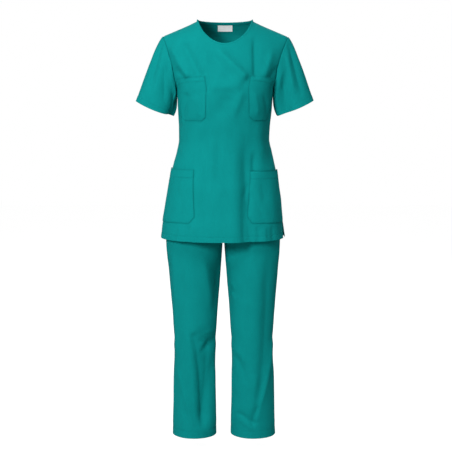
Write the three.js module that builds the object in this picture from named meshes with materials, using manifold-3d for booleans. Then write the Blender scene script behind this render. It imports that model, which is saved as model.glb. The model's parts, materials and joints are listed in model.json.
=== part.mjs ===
import * as THREE from "three";
import { mergeVertices } from "three/addons/utils/BufferGeometryUtils.js";
import SolidKit from "manifold-3d";

// A set of medical scrubs, worn form without a wearer: millimetres, +Z up, front facing -Y.
// Heights are measured down from the neck side points. Left and right are the wearer's, left at +X.

// Cloth
const CLOTH_WALL = 1.5;
const SEAM_GAP = 0.3;
const PATCH_GAP = 0.3;
const PATCH_WALL = 1.3;
const POCKET_REACH = 200;
const BINDING_EXTRA = 0.25;
const BINDING_WIDTH = 5.4;
const BINDING_GAP = 0.45;
const TAPE_WALL = 1;
const TAPE_GAP = 0.75;
const TAPE_ABOVE = 4.4;
const TAPE_BELOW = 4.4;
const TAPE_SHORTER = 2;
const LABEL_GAP = 0.4;
const WAISTBAND_WALL = 2.4;
const WAISTBAND_PROUD = 0.4;
const WAISTBAND_GAP = 0.4;
const SLEEVE_GAP = 0.4;

// Tunic levels and neck
const TUNIC_HEM = -729;
const ARMPIT = -227;
const VENT_TOP = -644;
const VENT_LEFT = { angle: 84, pull: 5.5 };
const VENT_RIGHT = { angle: 87, pull: 1 };
const NECK_HALF_WIDTH = 93.5;
const NECK_SIDE_HEIGHT = -3;
const NECK_DEPTH_FRONT = 79;
const NECK_DEPTH_BACK = 6.5;
const NECK_CURVE = 2 / 1.7;
const NECK_CROWDING = 1.3;
const NECK_SHARE = 0.5;
const NECK_ROOT_RISE = 28;
const SHOULDER_ROUNDING_FRONT = 110;
const SHOULDER_ROUNDING_BACK = 80;

// Trouser levels
const TROUSER_HEM = -1421.5;
const CROTCH = -690;
const SEAT_TOP = -580;
const WAIST_SEAM = -440;
const WAIST_TOP = -400;
const TROUSER_MIDDLE = -5.5;
const SEAT_CURVE = 1.5;

// Tunic sections: side edges, depth forward and back of the side seams, roundness of the corners
const TUNIC = sections(
  ["z", "right", "left", "front", "back", "corner"],
  [
    [-729, -219, 205, 140, 141, 0.92],
    [-680, -213, 198, 136, 141, 0.92],
    [-639, -205, 192, 131, 140, 0.92],
    [-597, -198, 188, 128, 137, 0.92],
    [-556, -191, 181.5, 126, 130, 0.92],
    [-516, -184, 176, 122, 121, 0.92],
    [-475, -173.5, 167, 118.5, 110, 0.92],
    [-434, -162, 158, 116.5, 103, 0.9],
    [-393, -155, 149.5, 117, 101, 0.88],
    [-353, -155, 151, 122, 102, 0.86],
    [-306, -157.6, 156, 130, 104, 0.82],
    [-262, -159.5, 159, 135, 107, 0.78],
    [-227, -161, 161, 136, 109, 0.76],
    [-200, -172, 172, 132, 110, 0.82],
    [-155, -193, 193, 122, 109, 0.93],
    [-105, -214, 214, 105, 105, 1],
    [-58, -238, 238, 91, 97, 1],
    [0, -262, 262, 80, 83, 1],
    [30, -262, 262, 80, 83, 1],
  ],
);

// Distance of the armhole seam from the middle, going up from the armpit
const ARMHOLE = sections(
  ["z", "across"],
  [
    [-227, 161],
    [-215, 163],
    [-200, 166],
    [-185, 169.5],
    [-155, 174.5],
    [-130, 180],
    [-105, 188],
    [-80, 198],
    [-54, 209],
  ],
);
const ARMHOLE_TOP = -54;

// Height of the shoulder line going out from the neck
const SHOULDER = sections(
  ["across", "height"],
  [
    [93.5, -3],
    [125, -18],
    [165, -35],
    [205, -52],
    [211, -55],
    [260, -80],
  ],
);
const SHOULDER_END = { left: 210.5, right: 206.5 };

// Sleeve hems: distance out and height of the outer and inner corners, half depth, sag of the middle
const SLEEVE_HEMS = {
  left: { outer: [299, -266], inner: [175.5, -316], depth: 45, sag: 4 },
  right: { outer: [301, -268], inner: [173.5, -318], depth: 45, sag: 5 },
};

// How the sleeve leaves the armhole and reaches its hem, in shares of its own length at that place
const SLEEVE_LEAVE = {
  over: { out: 0.263, front: 0, down: 0.162 },
  side: { out: 0.38, front: 0.1, down: 0.75 },
  under: { out: -0.02, front: 0, down: 0.9 },
};
const SLEEVE_ARRIVE = {
  over: { out: 0.366, front: 0, down: 0.93 },
  side: { out: 0.366, front: 0, down: 0.93 },
  under: { out: 0.55, front: 0, down: 0.7 },
};
const SLEEVE_ROOT_OUT = 1.2;
const SLEEVE_ROOT_TURN = { from: 120, over: 0.9 };

// Trouser sections: outer and inner edges of each leg, depth forward and back
const TROUSERS = sections(
  ["z", "rightOut", "rightIn", "leftIn", "leftOut", "front", "back"],
  [
    [-1422, -183, -30, 20, 175, 72, 62],
    [-1358, -181, -31, 21, 172, 70, 62],
    [-1271, -178, -32, 23.5, 170, 67, 62],
    [-1185, -176.5, -33, 24, 167, 66, 63],
    [-1100, -176, -31.5, 22, 165, 66, 65],
    [-1015, -179, -27, 17, 169, 69, 70],
    [-930, -186, -21, 11, 175, 74, 78],
    [-846, -193, -14, 4, 182, 80, 90],
    [-763, -201, -8.5, -2.6, 188, 84, 96],
    [-690, -202.5, -5.65, -5.35, 190, 90, 102],
    [-650, -200, -5.65, -5.35, 189, 100, 113],
    [-600, -196.4, -5.65, -5.35, 186.4, 110, 123],
    [-560, -187.5, -5.65, -5.35, 178, 111, 118],
    [-500, -170, -5.65, -5.35, 162.5, 106, 105],
    [-440, -146, -5.65, -5.35, 141, 102, 90],
    [-400, -143, -5.65, -5.35, 137.5, 101, 88],
  ],
);

// Patch pockets on the tunic front, seen from the front: corners going round from the top inner one
const POCKETS = [
  {
    name: "chest_pocket_right",
    outline: [
      [-65, -183], [-62, -316], [-75, -329], [-134, -329], [-147, -316], [-158, -194], [-125, -186],
    ],
  },
  {
    name: "chest_pocket_left",
    outline: [
      [82, -181], [77, -313], [91, -328], [136, -328], [148, -316], [158, -193], [126, -184],
    ],
  },
  {
    name: "hip_pocket_right",
    outline: [[-102, -489], [-101, -646], [-119, -667], [-260, -672], [-260, -491]],
  },
  {
    name: "hip_pocket_left",
    outline: [[86, -493], [77.5, -645], [93, -667], [260, -674], [260, -497]],
  },
];

// Label on the inside of the back neck
const LABEL = { halfWidth: 25, middle: 0.5, below: 5.3, height: 20, columns: 4, rows: 2 };

// Largest folds, seen from the front: both ends, half width, and lift off the form
const FOLD_COLUMNS = ["x0", "z0", "x1", "z1", "width", "lift"];
const FOLD_FADE = 0.22;
const SLEEVE_FOLD_FADE = 0.3;
const FRONT_FOLDS = folds([
  [52, -350, 58, -790, 17, -8],
  [28, -350, 26, -780, 18, 3.5],
  [80, -400, 84, -780, 15, 4],
  [84, -190, 88, -70, 13, -5],
  [74, -185, 5, -95, 17, 3.5],
  [104, -185, 140, -90, 14, 3.5],
  [-91, -185, -150, -80, 15, -6],
  [-60, -330, -76, -780, 19, -4],
  [-110, -330, -104, -480, 17, 3],
  [118, -240, 134, -310, 13, -4],
  [132, -330, 152, -500, 16, -5],
  [-55, -216, 65, -216, 20, 3],
]);
const BACK_FOLDS = folds([
  [-60, -300, -72, -790, 22, -6],
  [66, -320, 60, -790, 20, -7],
  [4, -380, -6, -780, 24, 4],
  [-150, -120, -60, -210, 20, -4],
  [150, -115, 70, -205, 20, -5],
  [-120, -340, -40, -410, 16, -4],
  [116, -345, 44, -412, 16, -4],
]);
const LEG_FRONT_FOLDS = folds([
  [-70, -780, -41, -950, 15, -6],
  [-118, -1040, -88, -1390, 14, -7],
  [-150, -1120, -112, -1400, 15, 5],
  [-36, -1070, -84, -1116, 12, 4],
  [-69, -1200, -76, -1380, 14, -5],
  [138, -780, 138, -1300, 15, -5],
  [160, -1050, 110, -1365, 13, 5],
  [28, -1112, 96, -1170, 13, 4],
  [40, -1150, 76, -1240, 13, -5],
]);
const LEG_BACK_FOLDS = folds([
  [-100, -720, -112, -1000, 18, -5],
  [-140, -1060, -60, -1110, 14, -5],
  [-100, -1120, -108, -1400, 16, 4],
  [96, -720, 104, -980, 18, -5],
  [40, -1064, 130, -1104, 14, -5],
  [98, -1120, 92, -1400, 16, 4],
]);

// Sleeve folds by place round the sleeve in degrees from the top, and share of the way down
const SLEEVE_FOLDS = {
  left: [
    { at: 52, from: 0.1, to: 0.95, width: 14, lift: -4 },
    { at: 88, from: 0.05, to: 0.8, width: 12, lift: 2.5 },
    { at: 128, from: 0.2, to: 1.1, width: 14, lift: -4 },
    { at: 240, from: 0.1, to: 0.9, width: 18, lift: -4 },
  ],
  right: [
    { at: 58, from: 0.05, to: 0.8, width: 13, lift: -3.5 },
    { at: 96, from: 0.1, to: 0.75, width: 12, lift: -4 },
    { at: 132, from: 0.3, to: 1.1, width: 14, lift: -4.5 },
    { at: 244, from: 0.15, to: 0.9, width: 18, lift: -4 },
  ],
};

// Where folds and vents die away: toward a seam, under the shoulder and below the crotch
const TUNIC_CALM = { facing: 0.6, under: 40 };
const LEG_CALM = { facing: 0.5, under: 60 };
const VENT_PULL_POWER = 7;

// Grid sizes, and how their rows crowd together
const FRONT_GRID = { columns: 32, lowRows: 19, highRows: 12 };
const BACK_GRID = { columns: 24, lowRows: 14, highRows: 9 };
const SLEEVE_ROWS = 8;
const LEG_GRID = { front: 10, back: 8, lowRows: 17, seatRows: 5, topRows: 3 };
const WAIST_STEPS = 36;
const HIGH_ROW_CROWDING = 1.7;
const SLEEVE_ROW_CROWDING = 1.25;
const SEAT_ROW_CROWDING = 1.6;
const HEIGHT_SEARCH_STEPS = 40;
const SMALL = 1e-6;

// Colours of the cloth pieces
const TEAL = { color: 0x0d918f, roughness: 0.82, metalness: 0 };
const LABEL_WHITE = { color: 0xe9edee, roughness: 0.7, metalness: 0 };

function clamp(value, low, high) {
  return Math.min(Math.max(value, low), high);
}

function ease(value) {
  const t = clamp(value, 0, 1);
  return t * t * (3 - 2 * t);
}

function mix(from, to, share) {
  return from + (to - from) * share;
}

function radians(degrees) {
  return (degrees * Math.PI) / 180;
}

function degrees(angle) {
  return (angle * 180) / Math.PI;
}

// Rises at the start of a run and falls at its end, each over the given share of it
function fadeEnds(along, fade) {
  return ease(along / fade) * ease((1 - along) / fade);
}

// Smooth reading between the rows of a table, never past its neighbours
function smoothBetween(at, values, where) {
  const last = at.length - 1;
  if (where <= at[0]) return values[0];
  if (where >= at[last]) return values[last];
  let k = 0;
  while (where > at[k + 1]) k += 1;
  const slope = (i) => (values[i + 1] - values[i]) / (at[i + 1] - at[i]);
  const tangent = (i) => {
    if (i === 0) return slope(0);
    if (i === last) return slope(last - 1);
    const before = slope(i - 1);
    const after = slope(i);
    return before * after <= 0 ? 0 : (2 * before * after) / (before + after);
  };
  const step = at[k + 1] - at[k];
  const t = (where - at[k]) / step;
  const bend = t * t * (3 - 2 * t);
  const leave = t * (1 - t) * (1 - t) * step * tangent(k);
  const arrive = t * t * (t - 1) * step * tangent(k + 1);
  return mix(values[k], values[k + 1], bend) + leave + arrive;
}

function sections(names, rows) {
  const at = rows.map((row) => row[0]);
  const column = {};
  names.forEach((name, i) => {
    column[name] = rows.map((row) => row[i]);
  });
  return (name, where) => smoothBetween(at, column[name], where);
}

function folds(rows) {
  return rows.map((row) => Object.fromEntries(FOLD_COLUMNS.map((name, i) => [name, row[i]])));
}

// Lift of all folds at a place seen from the front, each fading out at its ends
function foldLift(list, x, z) {
  let lift = 0;
  for (const fold of list) {
    const runX = fold.x1 - fold.x0;
    const runZ = fold.z1 - fold.z0;
    const run = Math.hypot(runX, runZ);
    const along = ((x - fold.x0) * runX + (z - fold.z0) * runZ) / (run * run);
    const aside = ((x - fold.x0) * runZ - (z - fold.z0) * runX) / run;
    lift += fold.lift * fadeEnds(along, FOLD_FADE) * Math.exp(-((aside / fold.width) ** 2));
  }
  return lift;
}

function shoulderHeight(x) {
  const across = Math.abs(x);
  if (across >= NECK_HALF_WIDTH) return SHOULDER("height", across);
  return NECK_SIDE_HEIGHT + NECK_ROOT_RISE * (1 - (across / NECK_HALF_WIDTH) ** 2);
}

const FRONT = {
  sign: -1,
  depth: "front",
  rounding: SHOULDER_ROUNDING_FRONT,
  neckDepth: NECK_DEPTH_FRONT,
  folds: FRONT_FOLDS,
  legFolds: LEG_FRONT_FOLDS,
  grid: FRONT_GRID,
};
const BACK = {
  sign: 1,
  depth: "back",
  rounding: SHOULDER_ROUNDING_BACK,
  neckDepth: NECK_DEPTH_BACK,
  folds: BACK_FOLDS,
  legFolds: LEG_BACK_FOLDS,
  grid: BACK_GRID,
};

// Outer face of the tunic body at a place seen from the front
function tunicPoint(face, x, z) {
  const right = TUNIC("right", z);
  const left = TUNIC("left", z);
  const half = (left - right) / 2;
  const across = clamp((x - (left + right) / 2) / half, -1, 1);
  const facing = Math.sqrt(Math.max(1 - across * across, 0));
  const under = shoulderHeight(x) - z;
  const rounding = Math.sqrt(1 - (1 - clamp(under / face.rounding, 0, 1)) ** 2);
  const depth = TUNIC(face.depth, z) * facing ** TUNIC("corner", z) * rounding;
  const calm = ease(facing / TUNIC_CALM.facing) * ease(under / TUNIC_CALM.under);
  const lift = foldLift(face.folds, x, z) * calm;
  const vent = ventOf(across).pull * ventOpening(z) * across ** VENT_PULL_POWER;
  const pull = face === FRONT ? vent : 0;
  return new THREE.Vector3(
    x + lift * across - pull,
    face.sign * (SEAM_GAP / 2 + depth + lift * facing),
    z,
  );
}

// Angle from the middle of a panel to its side edge: a quarter turn, less where a vent stands open
function sideAngle(face, side, z) {
  return face === BACK ? 90 : mix(90, ventOf(side).angle, ventOpening(z));
}

function ventOf(side) {
  return side > 0 ? VENT_LEFT : VENT_RIGHT;
}

function ventOpening(z) {
  return ease((VENT_TOP - z) / (VENT_TOP - TUNIC_HEM));
}

function shoulderEnd(side) {
  return side > 0 ? SHOULDER_END.left : SHOULDER_END.right;
}

function topEdge(face, u) {
  const side = Math.sign(u);
  const share = Math.abs(u);
  if (share <= NECK_SHARE + SMALL) {
    const rest = Math.max(1 - share / NECK_SHARE, 0);
    const turn = radians(90 * (1 - rest ** NECK_CROWDING));
    const drop = rest < SMALL ? 0 : Math.cos(turn) ** NECK_CURVE;
    return [
      side * NECK_HALF_WIDTH * Math.sin(turn) ** NECK_CURVE,
      NECK_SIDE_HEIGHT - face.neckDepth * drop,
    ];
  }
  const x = mix(NECK_HALF_WIDTH, shoulderEnd(u), (share - NECK_SHARE) / (1 - NECK_SHARE));
  return [side * x, shoulderHeight(x)];
}

// Place of a grid corner of a tunic panel, seen from the front
function tunicPlace(face, u, row) {
  const { lowRows } = face.grid;
  if (row <= lowRows) {
    const z = mix(TUNIC_HEM, ARMPIT, row / lowRows);
    const right = TUNIC("right", z);
    const left = TUNIC("left", z);
    const angle = radians(u * sideAngle(face, u, z));
    return [(left + right) / 2 + ((left - right) / 2) * Math.sin(angle), z];
  }
  const share = 1 - (1 - (row - lowRows) / face.grid.highRows) ** HIGH_ROW_CROWDING;
  const [topX, topZ] = topEdge(face, u);
  const edgeZ = mix(ARMPIT, SHOULDER("height", shoulderEnd(u)), share);
  const widest = ARMHOLE("across", ARMPIT);
  const spread = (ARMHOLE("across", edgeZ) - widest) / (ARMHOLE("across", ARMHOLE_TOP) - widest);
  return [mix(widest * Math.sin(radians(90 * u)), topX, spread), mix(ARMPIT, topZ, share)];
}

// The way out at each corner of a sheet of cloth given as rows of outer corners
function normalsOf(points, closedAcross) {
  const rows = points.length;
  const columns = points[0].length;
  const normals = points.map((row) => row.map(() => new THREE.Vector3()));
  const wide = closedAcross ? columns : columns - 1;
  for (let j = 0; j < rows - 1; j += 1) {
    for (let i = 0; i < wide; i += 1) {
      const next = (i + 1) % columns;
      const a = points[j][i];
      const b = points[j][next];
      const c = points[j + 1][next];
      const d = points[j + 1][i];
      const way = new THREE.Vector3()
        .subVectors(c, a)
        .cross(new THREE.Vector3().subVectors(d, b));
      for (const [row, column] of [[j, i], [j, next], [j + 1, next], [j + 1, i]]) {
        normals[row][column].add(way);
      }
    }
  }
  normals.forEach((row) => row.forEach((normal) => normal.normalize()));
  return normals;
}

function flipAll(normals) {
  normals.forEach((row) => row.forEach((normal) => normal.negate()));
}

function moved(points, normals, by) {
  return points.map((row, j) =>
    row.map((point, i) => point.clone().addScaledVector(normals[j][i], by)),
  );
}

// Closed solid between two sheets of corners, the first facing out
function shell(outer, inner, closedAcross) {
  const rows = outer.length;
  const columns = outer[0].length;
  const size = rows * columns;
  const positions = [...outer.flat(), ...inner.flat()].flatMap((p) => [p.x, p.y, p.z]);
  const faces = [];
  const quad = (a, b, c, d) => faces.push(a, b, c, a, c, d);
  const wide = closedAcross ? columns : columns - 1;
  const at = (j, i) => j * columns + (i % columns);
  for (let j = 0; j < rows - 1; j += 1) {
    for (let i = 0; i < wide; i += 1) {
      quad(at(j, i), at(j, i + 1), at(j + 1, i + 1), at(j + 1, i));
      quad(size + at(j, i), size + at(j + 1, i), size + at(j + 1, i + 1), size + at(j, i + 1));
    }
  }
  for (let i = 0; i < wide; i += 1) {
    quad(at(0, i + 1), at(0, i), size + at(0, i), size + at(0, i + 1));
    quad(at(rows - 1, i), at(rows - 1, i + 1), size + at(rows - 1, i + 1), size + at(rows - 1, i));
  }
  if (!closedAcross) {
    for (let j = 0; j < rows - 1; j += 1) {
      quad(at(j, 0), at(j + 1, 0), size + at(j + 1, 0), size + at(j, 0));
      const i = columns - 1;
      quad(at(j + 1, i), at(j, i), size + at(j, i), size + at(j + 1, i));
    }
  }
  const geometry = new THREE.BufferGeometry();
  geometry.setAttribute("position", new THREE.Float32BufferAttribute(positions, 3));
  geometry.setIndex(faces);
  if (signedVolume(geometry) < 0) {
    const turned = [];
    for (let k = 0; k < faces.length; k += 3) turned.push(faces[k], faces[k + 2], faces[k + 1]);
    geometry.setIndex(turned);
  }
  geometry.computeVertexNormals();
  return geometry;
}

function signedVolume(geometry) {
  const position = geometry.getAttribute("position");
  const index = geometry.getIndex();
  const corner = (k) => new THREE.Vector3().fromBufferAttribute(position, index.getX(k));
  let volume = 0;
  for (let k = 0; k < index.count; k += 3) {
    volume += corner(k).dot(corner(k + 1).cross(corner(k + 2))) / 6;
  }
  return volume;
}

const group = new THREE.Group();
group.name = "medical_scrubs";

function addPiece(name, geometry, look) {
  const mesh = new THREE.Mesh(geometry, new THREE.MeshStandardMaterial(look));
  mesh.name = name;
  group.add(mesh);
}

// Corner and way out halfway between two
function halfWay(a, b) {
  return { at: a.at.clone().lerp(b.at, 0.5), out: a.out.clone().add(b.out).normalize() };
}

// Tunic front and back
function tunicPanel(face) {
  const { columns, lowRows, highRows } = face.grid;
  const points = [];
  for (let row = 0; row <= lowRows + highRows; row += 1) {
    const line = [];
    for (let column = 0; column <= columns; column += 1) {
      const u = (2 * column) / columns - 1;
      const [x, z] = tunicPlace(face, u, row);
      line.push(tunicPoint(face, x, z));
    }
    points.push(line);
  }
  const normals = normalsOf(points, false);
  if (normals[0][columns / 2].y * face.sign < 0) flipAll(normals);
  const neckHalf = (NECK_SHARE * columns) / 2;
  normals.forEach((row, j) => {
    row.forEach((normal, i) => {
      const sideSeam = (i === 0 || i === columns) && j <= lowRows;
      const shoulderSeam = j === lowRows + highRows && Math.abs(i - columns / 2) >= neckHalf;
      if (sideSeam || shoulderSeam) normal.setY(0).normalize();
    });
  });
  return { points, normals, inner: moved(points, normals, -CLOTH_WALL), face };
}

const frontPanel = tunicPanel(FRONT);
const backPanel = tunicPanel(BACK);
addPiece("tunic_front", shell(frontPanel.points, frontPanel.inner, false), TEAL);
addPiece("tunic_back", shell(backPanel.points, backPanel.inner, false), TEAL);

// Armhole seam as one loop: down the front edge from the shoulder, up the back edge from the armpit
function armholeLoop(side) {
  const edge = (panel) => {
    const { columns, lowRows, highRows } = panel.face.grid;
    const column = side > 0 ? columns : 0;
    const corners = [];
    for (let row = lowRows + highRows; row >= lowRows; row -= 1) {
      corners.push({ at: panel.points[row][column], out: panel.normals[row][column] });
    }
    return corners;
  };
  const down = edge(frontPanel);
  const up = edge(backPanel).reverse();
  const shoulder = halfWay(down[0], up[up.length - 1]);
  const armpit = halfWay(down[down.length - 1], up[0]);
  const turns = [];
  down.slice(0, -1).forEach((_, k) => turns.push((180 * k) / (down.length - 1)));
  up.slice(0, -1).forEach((_, k) => turns.push(180 + (180 * k) / (up.length - 1)));
  return { corners: [shoulder, ...down.slice(1, -1), armpit, ...up.slice(1, -1)], turns };
}

function sleeveHemPoint(side, turn) {
  const hem = side > 0 ? SLEEVE_HEMS.left : SLEEVE_HEMS.right;
  const [outX, outZ] = hem.outer;
  const [inX, inZ] = hem.inner;
  const over = (1 + Math.cos(turn)) / 2;
  const round = Math.sin(turn);
  return new THREE.Vector3(
    side * mix(inX, outX, over),
    -hem.depth * round,
    mix(inZ, outZ, over) - hem.sag * round * round,
  );
}

// Way the sleeve runs at its armhole or at its hem, mixed from the over, side and under places
function sleeveWay(side, turn, run) {
  const over = Math.cos(turn);
  const round = Math.sin(turn);
  const weights = {
    over: Math.max(over, 0) ** 2,
    side: round ** 2,
    under: Math.min(over, 0) ** 2,
  };
  const way = new THREE.Vector3();
  for (const [place, weight] of Object.entries(weights)) {
    way.x += side * weight * run[place].out;
    way.y -= Math.sign(round) * weight * run[place].front;
    way.z -= weight * run[place].down;
  }
  return way;
}

function sleeve(side) {
  const loop = armholeLoop(side);
  const hem = loop.turns.map((turn) => sleeveHemPoint(side, radians(turn)));
  const leave = loop.turns.map((turn) => sleeveWay(side, radians(turn), SLEEVE_LEAVE));
  const arrive = loop.turns.map((turn) => sleeveWay(side, radians(turn), SLEEVE_ARRIVE));
  const start = loop.corners.map(({ at, out }, k) => {
    const off = leave[k].clone().normalize().addScaledVector(out, SLEEVE_ROOT_OUT).normalize();
    return at.clone().addScaledVector(off, SLEEVE_GAP);
  });
  const smooth = [];
  for (let row = 0; row <= SLEEVE_ROWS; row += 1) {
    const t = (row / SLEEVE_ROWS) ** SLEEVE_ROW_CROWDING;
    const fromStart = 1 - t * t * (3 - 2 * t);
    smooth.push(
      start.map((corner, k) => {
        const length = corner.distanceTo(hem[k]);
        return corner
          .clone()
          .multiplyScalar(fromStart)
          .addScaledVector(hem[k], 1 - fromStart)
          .addScaledVector(leave[k], length * t * (1 - t) * (1 - t))
          .addScaledVector(arrive[k], length * t * t * (t - 1));
      }),
    );
  }
  const outward = normalsOf(smooth, true);
  if (outward[SLEEVE_ROWS][0].x * side < 0) flipAll(outward);
  const list = side > 0 ? SLEEVE_FOLDS.left : SLEEVE_FOLDS.right;
  const points = smooth.map((row, j) =>
    row.map((point, k) => {
      const t = (j / SLEEVE_ROWS) ** SLEEVE_ROW_CROWDING;
      let lift = 0;
      for (const fold of list) {
        const share = (t - fold.from) / (fold.to - fold.from);
        const aside = (loop.turns[k] - fold.at) / fold.width;
        lift += fold.lift * fadeEnds(share, SLEEVE_FOLD_FADE) * Math.exp(-aside * aside);
      }
      return point.clone().addScaledVector(outward[j][k], lift);
    }),
  );
  const normals = normalsOf(points, true);
  if (normals[SLEEVE_ROWS][0].x * side < 0) flipAll(normals);
  const under = Math.cos(radians(SLEEVE_ROOT_TURN.from));
  loop.corners.forEach(({ out }, k) => {
    const followBody = ease((Math.cos(radians(loop.turns[k])) - under) / SLEEVE_ROOT_TURN.over);
    normals[0][k].lerp(out, followBody).normalize();
  });
  return shell(points, moved(points, normals, -CLOTH_WALL), true);
}

addPiece("sleeve_left", sleeve(1), TEAL);
addPiece("sleeve_right", sleeve(-1), TEAL);

// Neck edge as one loop of corners, with the way out of the cloth and up to the finished edge
function neckLoop() {
  const edge = (panel) => {
    const { columns } = panel.face.grid;
    const neckHalf = Math.round((NECK_SHARE * columns) / 2);
    const row = panel.points.length - 1;
    const corners = [];
    for (let i = columns / 2 - neckHalf; i <= columns / 2 + neckHalf; i += 1) {
      corners.push({ at: panel.points[row][i].clone(), out: panel.normals[row][i].clone() });
    }
    return corners;
  };
  const front = edge(frontPanel);
  const back = edge(backPanel).reverse();
  const loop = [
    halfWay(front[0], back[back.length - 1]),
    ...front.slice(1, -1),
    halfWay(front[front.length - 1], back[0]),
    ...back.slice(1, -1),
  ];
  const count = loop.length;
  loop.forEach((corner, k) => {
    const before = loop[(k + count - 1) % count].at;
    const after = loop[(k + 1) % count].at;
    corner.up = new THREE.Vector3().subVectors(after, before).cross(corner.out).normalize();
    const towardWearer = new THREE.Vector3(-corner.at.x, -corner.at.y, NECK_HALF_WIDTH);
    if (corner.up.dot(towardWearer) < 0) corner.up.negate();
  });
  return { loop, frontCount: front.length, backCount: back.length };
}

const neck = neckLoop();

function neckRow(corners, up, out) {
  return corners.map((corner) =>
    corner.at.clone().addScaledVector(corner.up, up).addScaledVector(corner.out, out),
  );
}

// Bias binding standing on the neck edge of both panels
{
  const ups = [BINDING_GAP, BINDING_GAP + BINDING_WIDTH];
  const face = (out) => ups.map((up) => neckRow(neck.loop, up, out));
  const band = shell(face(BINDING_EXTRA), face(-CLOTH_WALL - BINDING_EXTRA), true);
  addPiece("neck_binding", band, TEAL);
}

// Tape inside the back neck, over the binding seam
{
  const first = neck.frontCount - 1;
  const last = first + neck.backCount;
  const corners = neck.loop.slice(first + TAPE_SHORTER, last - TAPE_SHORTER);
  const near = -CLOTH_WALL - BINDING_EXTRA - TAPE_GAP;
  const face = (out) => [-TAPE_BELOW, 0, TAPE_ABOVE].map((up) => neckRow(corners, up, out));
  addPiece("back_neck_tape", shell(face(near), face(near - TAPE_WALL), false), TEAL);
}

// Point and way out on a panel's own corners, at a part-way place in its grid
function onSheet(sheet, column, row) {
  const i = clamp(Math.floor(column), 0, sheet[0].length - 2);
  const j = clamp(Math.floor(row), 0, sheet.length - 2);
  const low = sheet[j][i].clone().lerp(sheet[j][i + 1], column - i);
  const high = sheet[j + 1][i].clone().lerp(sheet[j + 1][i + 1], column - i);
  return low.lerp(high, row - j);
}

// Patch laid on a sheet: a grid of places, moved off the sheet along its way out
function patch(sheet, normals, places, gap, wall) {
  const place = ([column, row], off) =>
    onSheet(sheet, column, row).addScaledVector(onSheet(normals, column, row).normalize(), off);
  const layer = (off) => places.map((line) => line.map((spot) => place(spot, off)));
  return shell(layer(gap + wall), layer(gap), false);
}

function rowAtHeight(panel, column, z) {
  let low = 0;
  let high = panel.points.length - 1;
  for (let k = 0; k < HEIGHT_SEARCH_STEPS; k += 1) {
    const middle = (low + high) / 2;
    if (onSheet(panel.points, column, middle).z < z) low = middle;
    else high = middle;
  }
  return (low + high) / 2;
}

// Patch pockets: the front panel's own corners moved out, trimmed to each pocket's outline
const kit = await SolidKit();
kit.setup();

function solidOf(geometry) {
  return new kit.Manifold(
    new kit.Mesh({
      numProp: 3,
      vertProperties: geometry.getAttribute("position").array,
      triVerts: new Uint32Array(geometry.getIndex().array),
    }),
  );
}

function geometryOf(solid) {
  const mesh = solid.getMesh();
  const geometry = new THREE.BufferGeometry();
  geometry.setAttribute("position", new THREE.BufferAttribute(mesh.vertProperties, 3));
  geometry.setIndex(new THREE.BufferAttribute(mesh.triVerts, 1));
  return geometry;
}

function pocket(outline) {
  const side = Math.sign(outline[0][0]);
  const half = FRONT_GRID.columns / 2;
  const [from, to] = side > 0 ? [half + 1, 2 * half + 1] : [0, half];
  const cut = (sheet) => sheet.map((line) => line.slice(from, to));
  const sheet = cut(frontPanel.points);
  const normals = cut(frontPanel.normals);
  const layer = shell(
    moved(sheet, normals, PATCH_GAP + PATCH_WALL),
    moved(sheet, normals, PATCH_GAP),
    false,
  );
  const shape = new THREE.Shape(outline.map(([x, z]) => new THREE.Vector2(x, z)));
  const block = new THREE.ExtrudeGeometry(shape, { depth: POCKET_REACH, bevelEnabled: false });
  block.rotateX(Math.PI / 2);
  block.deleteAttribute("normal");
  block.deleteAttribute("uv");
  return geometryOf(solidOf(layer).intersect(solidOf(mergeVertices(block))));
}

for (const { name, outline } of POCKETS) addPiece(name, pocket(outline), TEAL);

// Bare label under the tape, on the inside of the back panel
{
  const inside = backPanel.normals.map((row) => row.map((normal) => normal.clone().negate()));
  const places = [];
  for (let j = 0; j <= LABEL.rows; j += 1) {
    const line = [];
    for (let i = 0; i <= LABEL.columns; i += 1) {
      const x = LABEL.middle + LABEL.halfWidth * ((2 * i) / LABEL.columns - 1);
      const column = BACK_GRID.columns * (0.5 + (0.5 * NECK_SHARE * neckShare(x)));
      const edge = onSheet(backPanel.points, column, backPanel.points.length - 1).z;
      const z = edge - LABEL.below - LABEL.height * (1 - j / LABEL.rows);
      line.push([column, rowAtHeight(backPanel, column, z)]);
    }
    places.push(line);
  }
  addPiece("neck_label", patch(backPanel.inner, inside, places, LABEL_GAP, TAPE_WALL), LABEL_WHITE);
}

function neckShare(x) {
  const sine = (Math.abs(x) / NECK_HALF_WIDTH) ** (1 / NECK_CURVE);
  const turned = degrees(Math.asin(sine)) / 90;
  return Math.sign(x) * (1 - (1 - turned) ** (1 / NECK_CROWDING));
}

// Trouser leg outer face: angle 0 faces straight forward or back, 90 is the side seam
function legSection(side, z) {
  const name = side > 0 ? "left" : "right";
  const out = TROUSERS(name + "Out", z);
  const full = Math.abs(out - TROUSER_MIDDLE) - SEAM_GAP / 2;
  if (z < CROTCH) {
    const inner = TROUSERS(name + "In", z);
    const half = Math.abs(out - inner) / 2;
    return { centre: out - side * half, half, start: -90 };
  }
  const t = clamp((z - CROTCH) / (SEAT_TOP - CROTCH), 0, 1);
  const share = 0.5 + 0.5 * clamp(t ** SEAT_CURVE * (1 + SEAT_CURVE * (1 - t)), 0, 1);
  const half = share * full;
  const start = -degrees(Math.asin(clamp(1 / share - 1, 0, 1)));
  return { centre: out - side * half, half, start };
}

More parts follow.
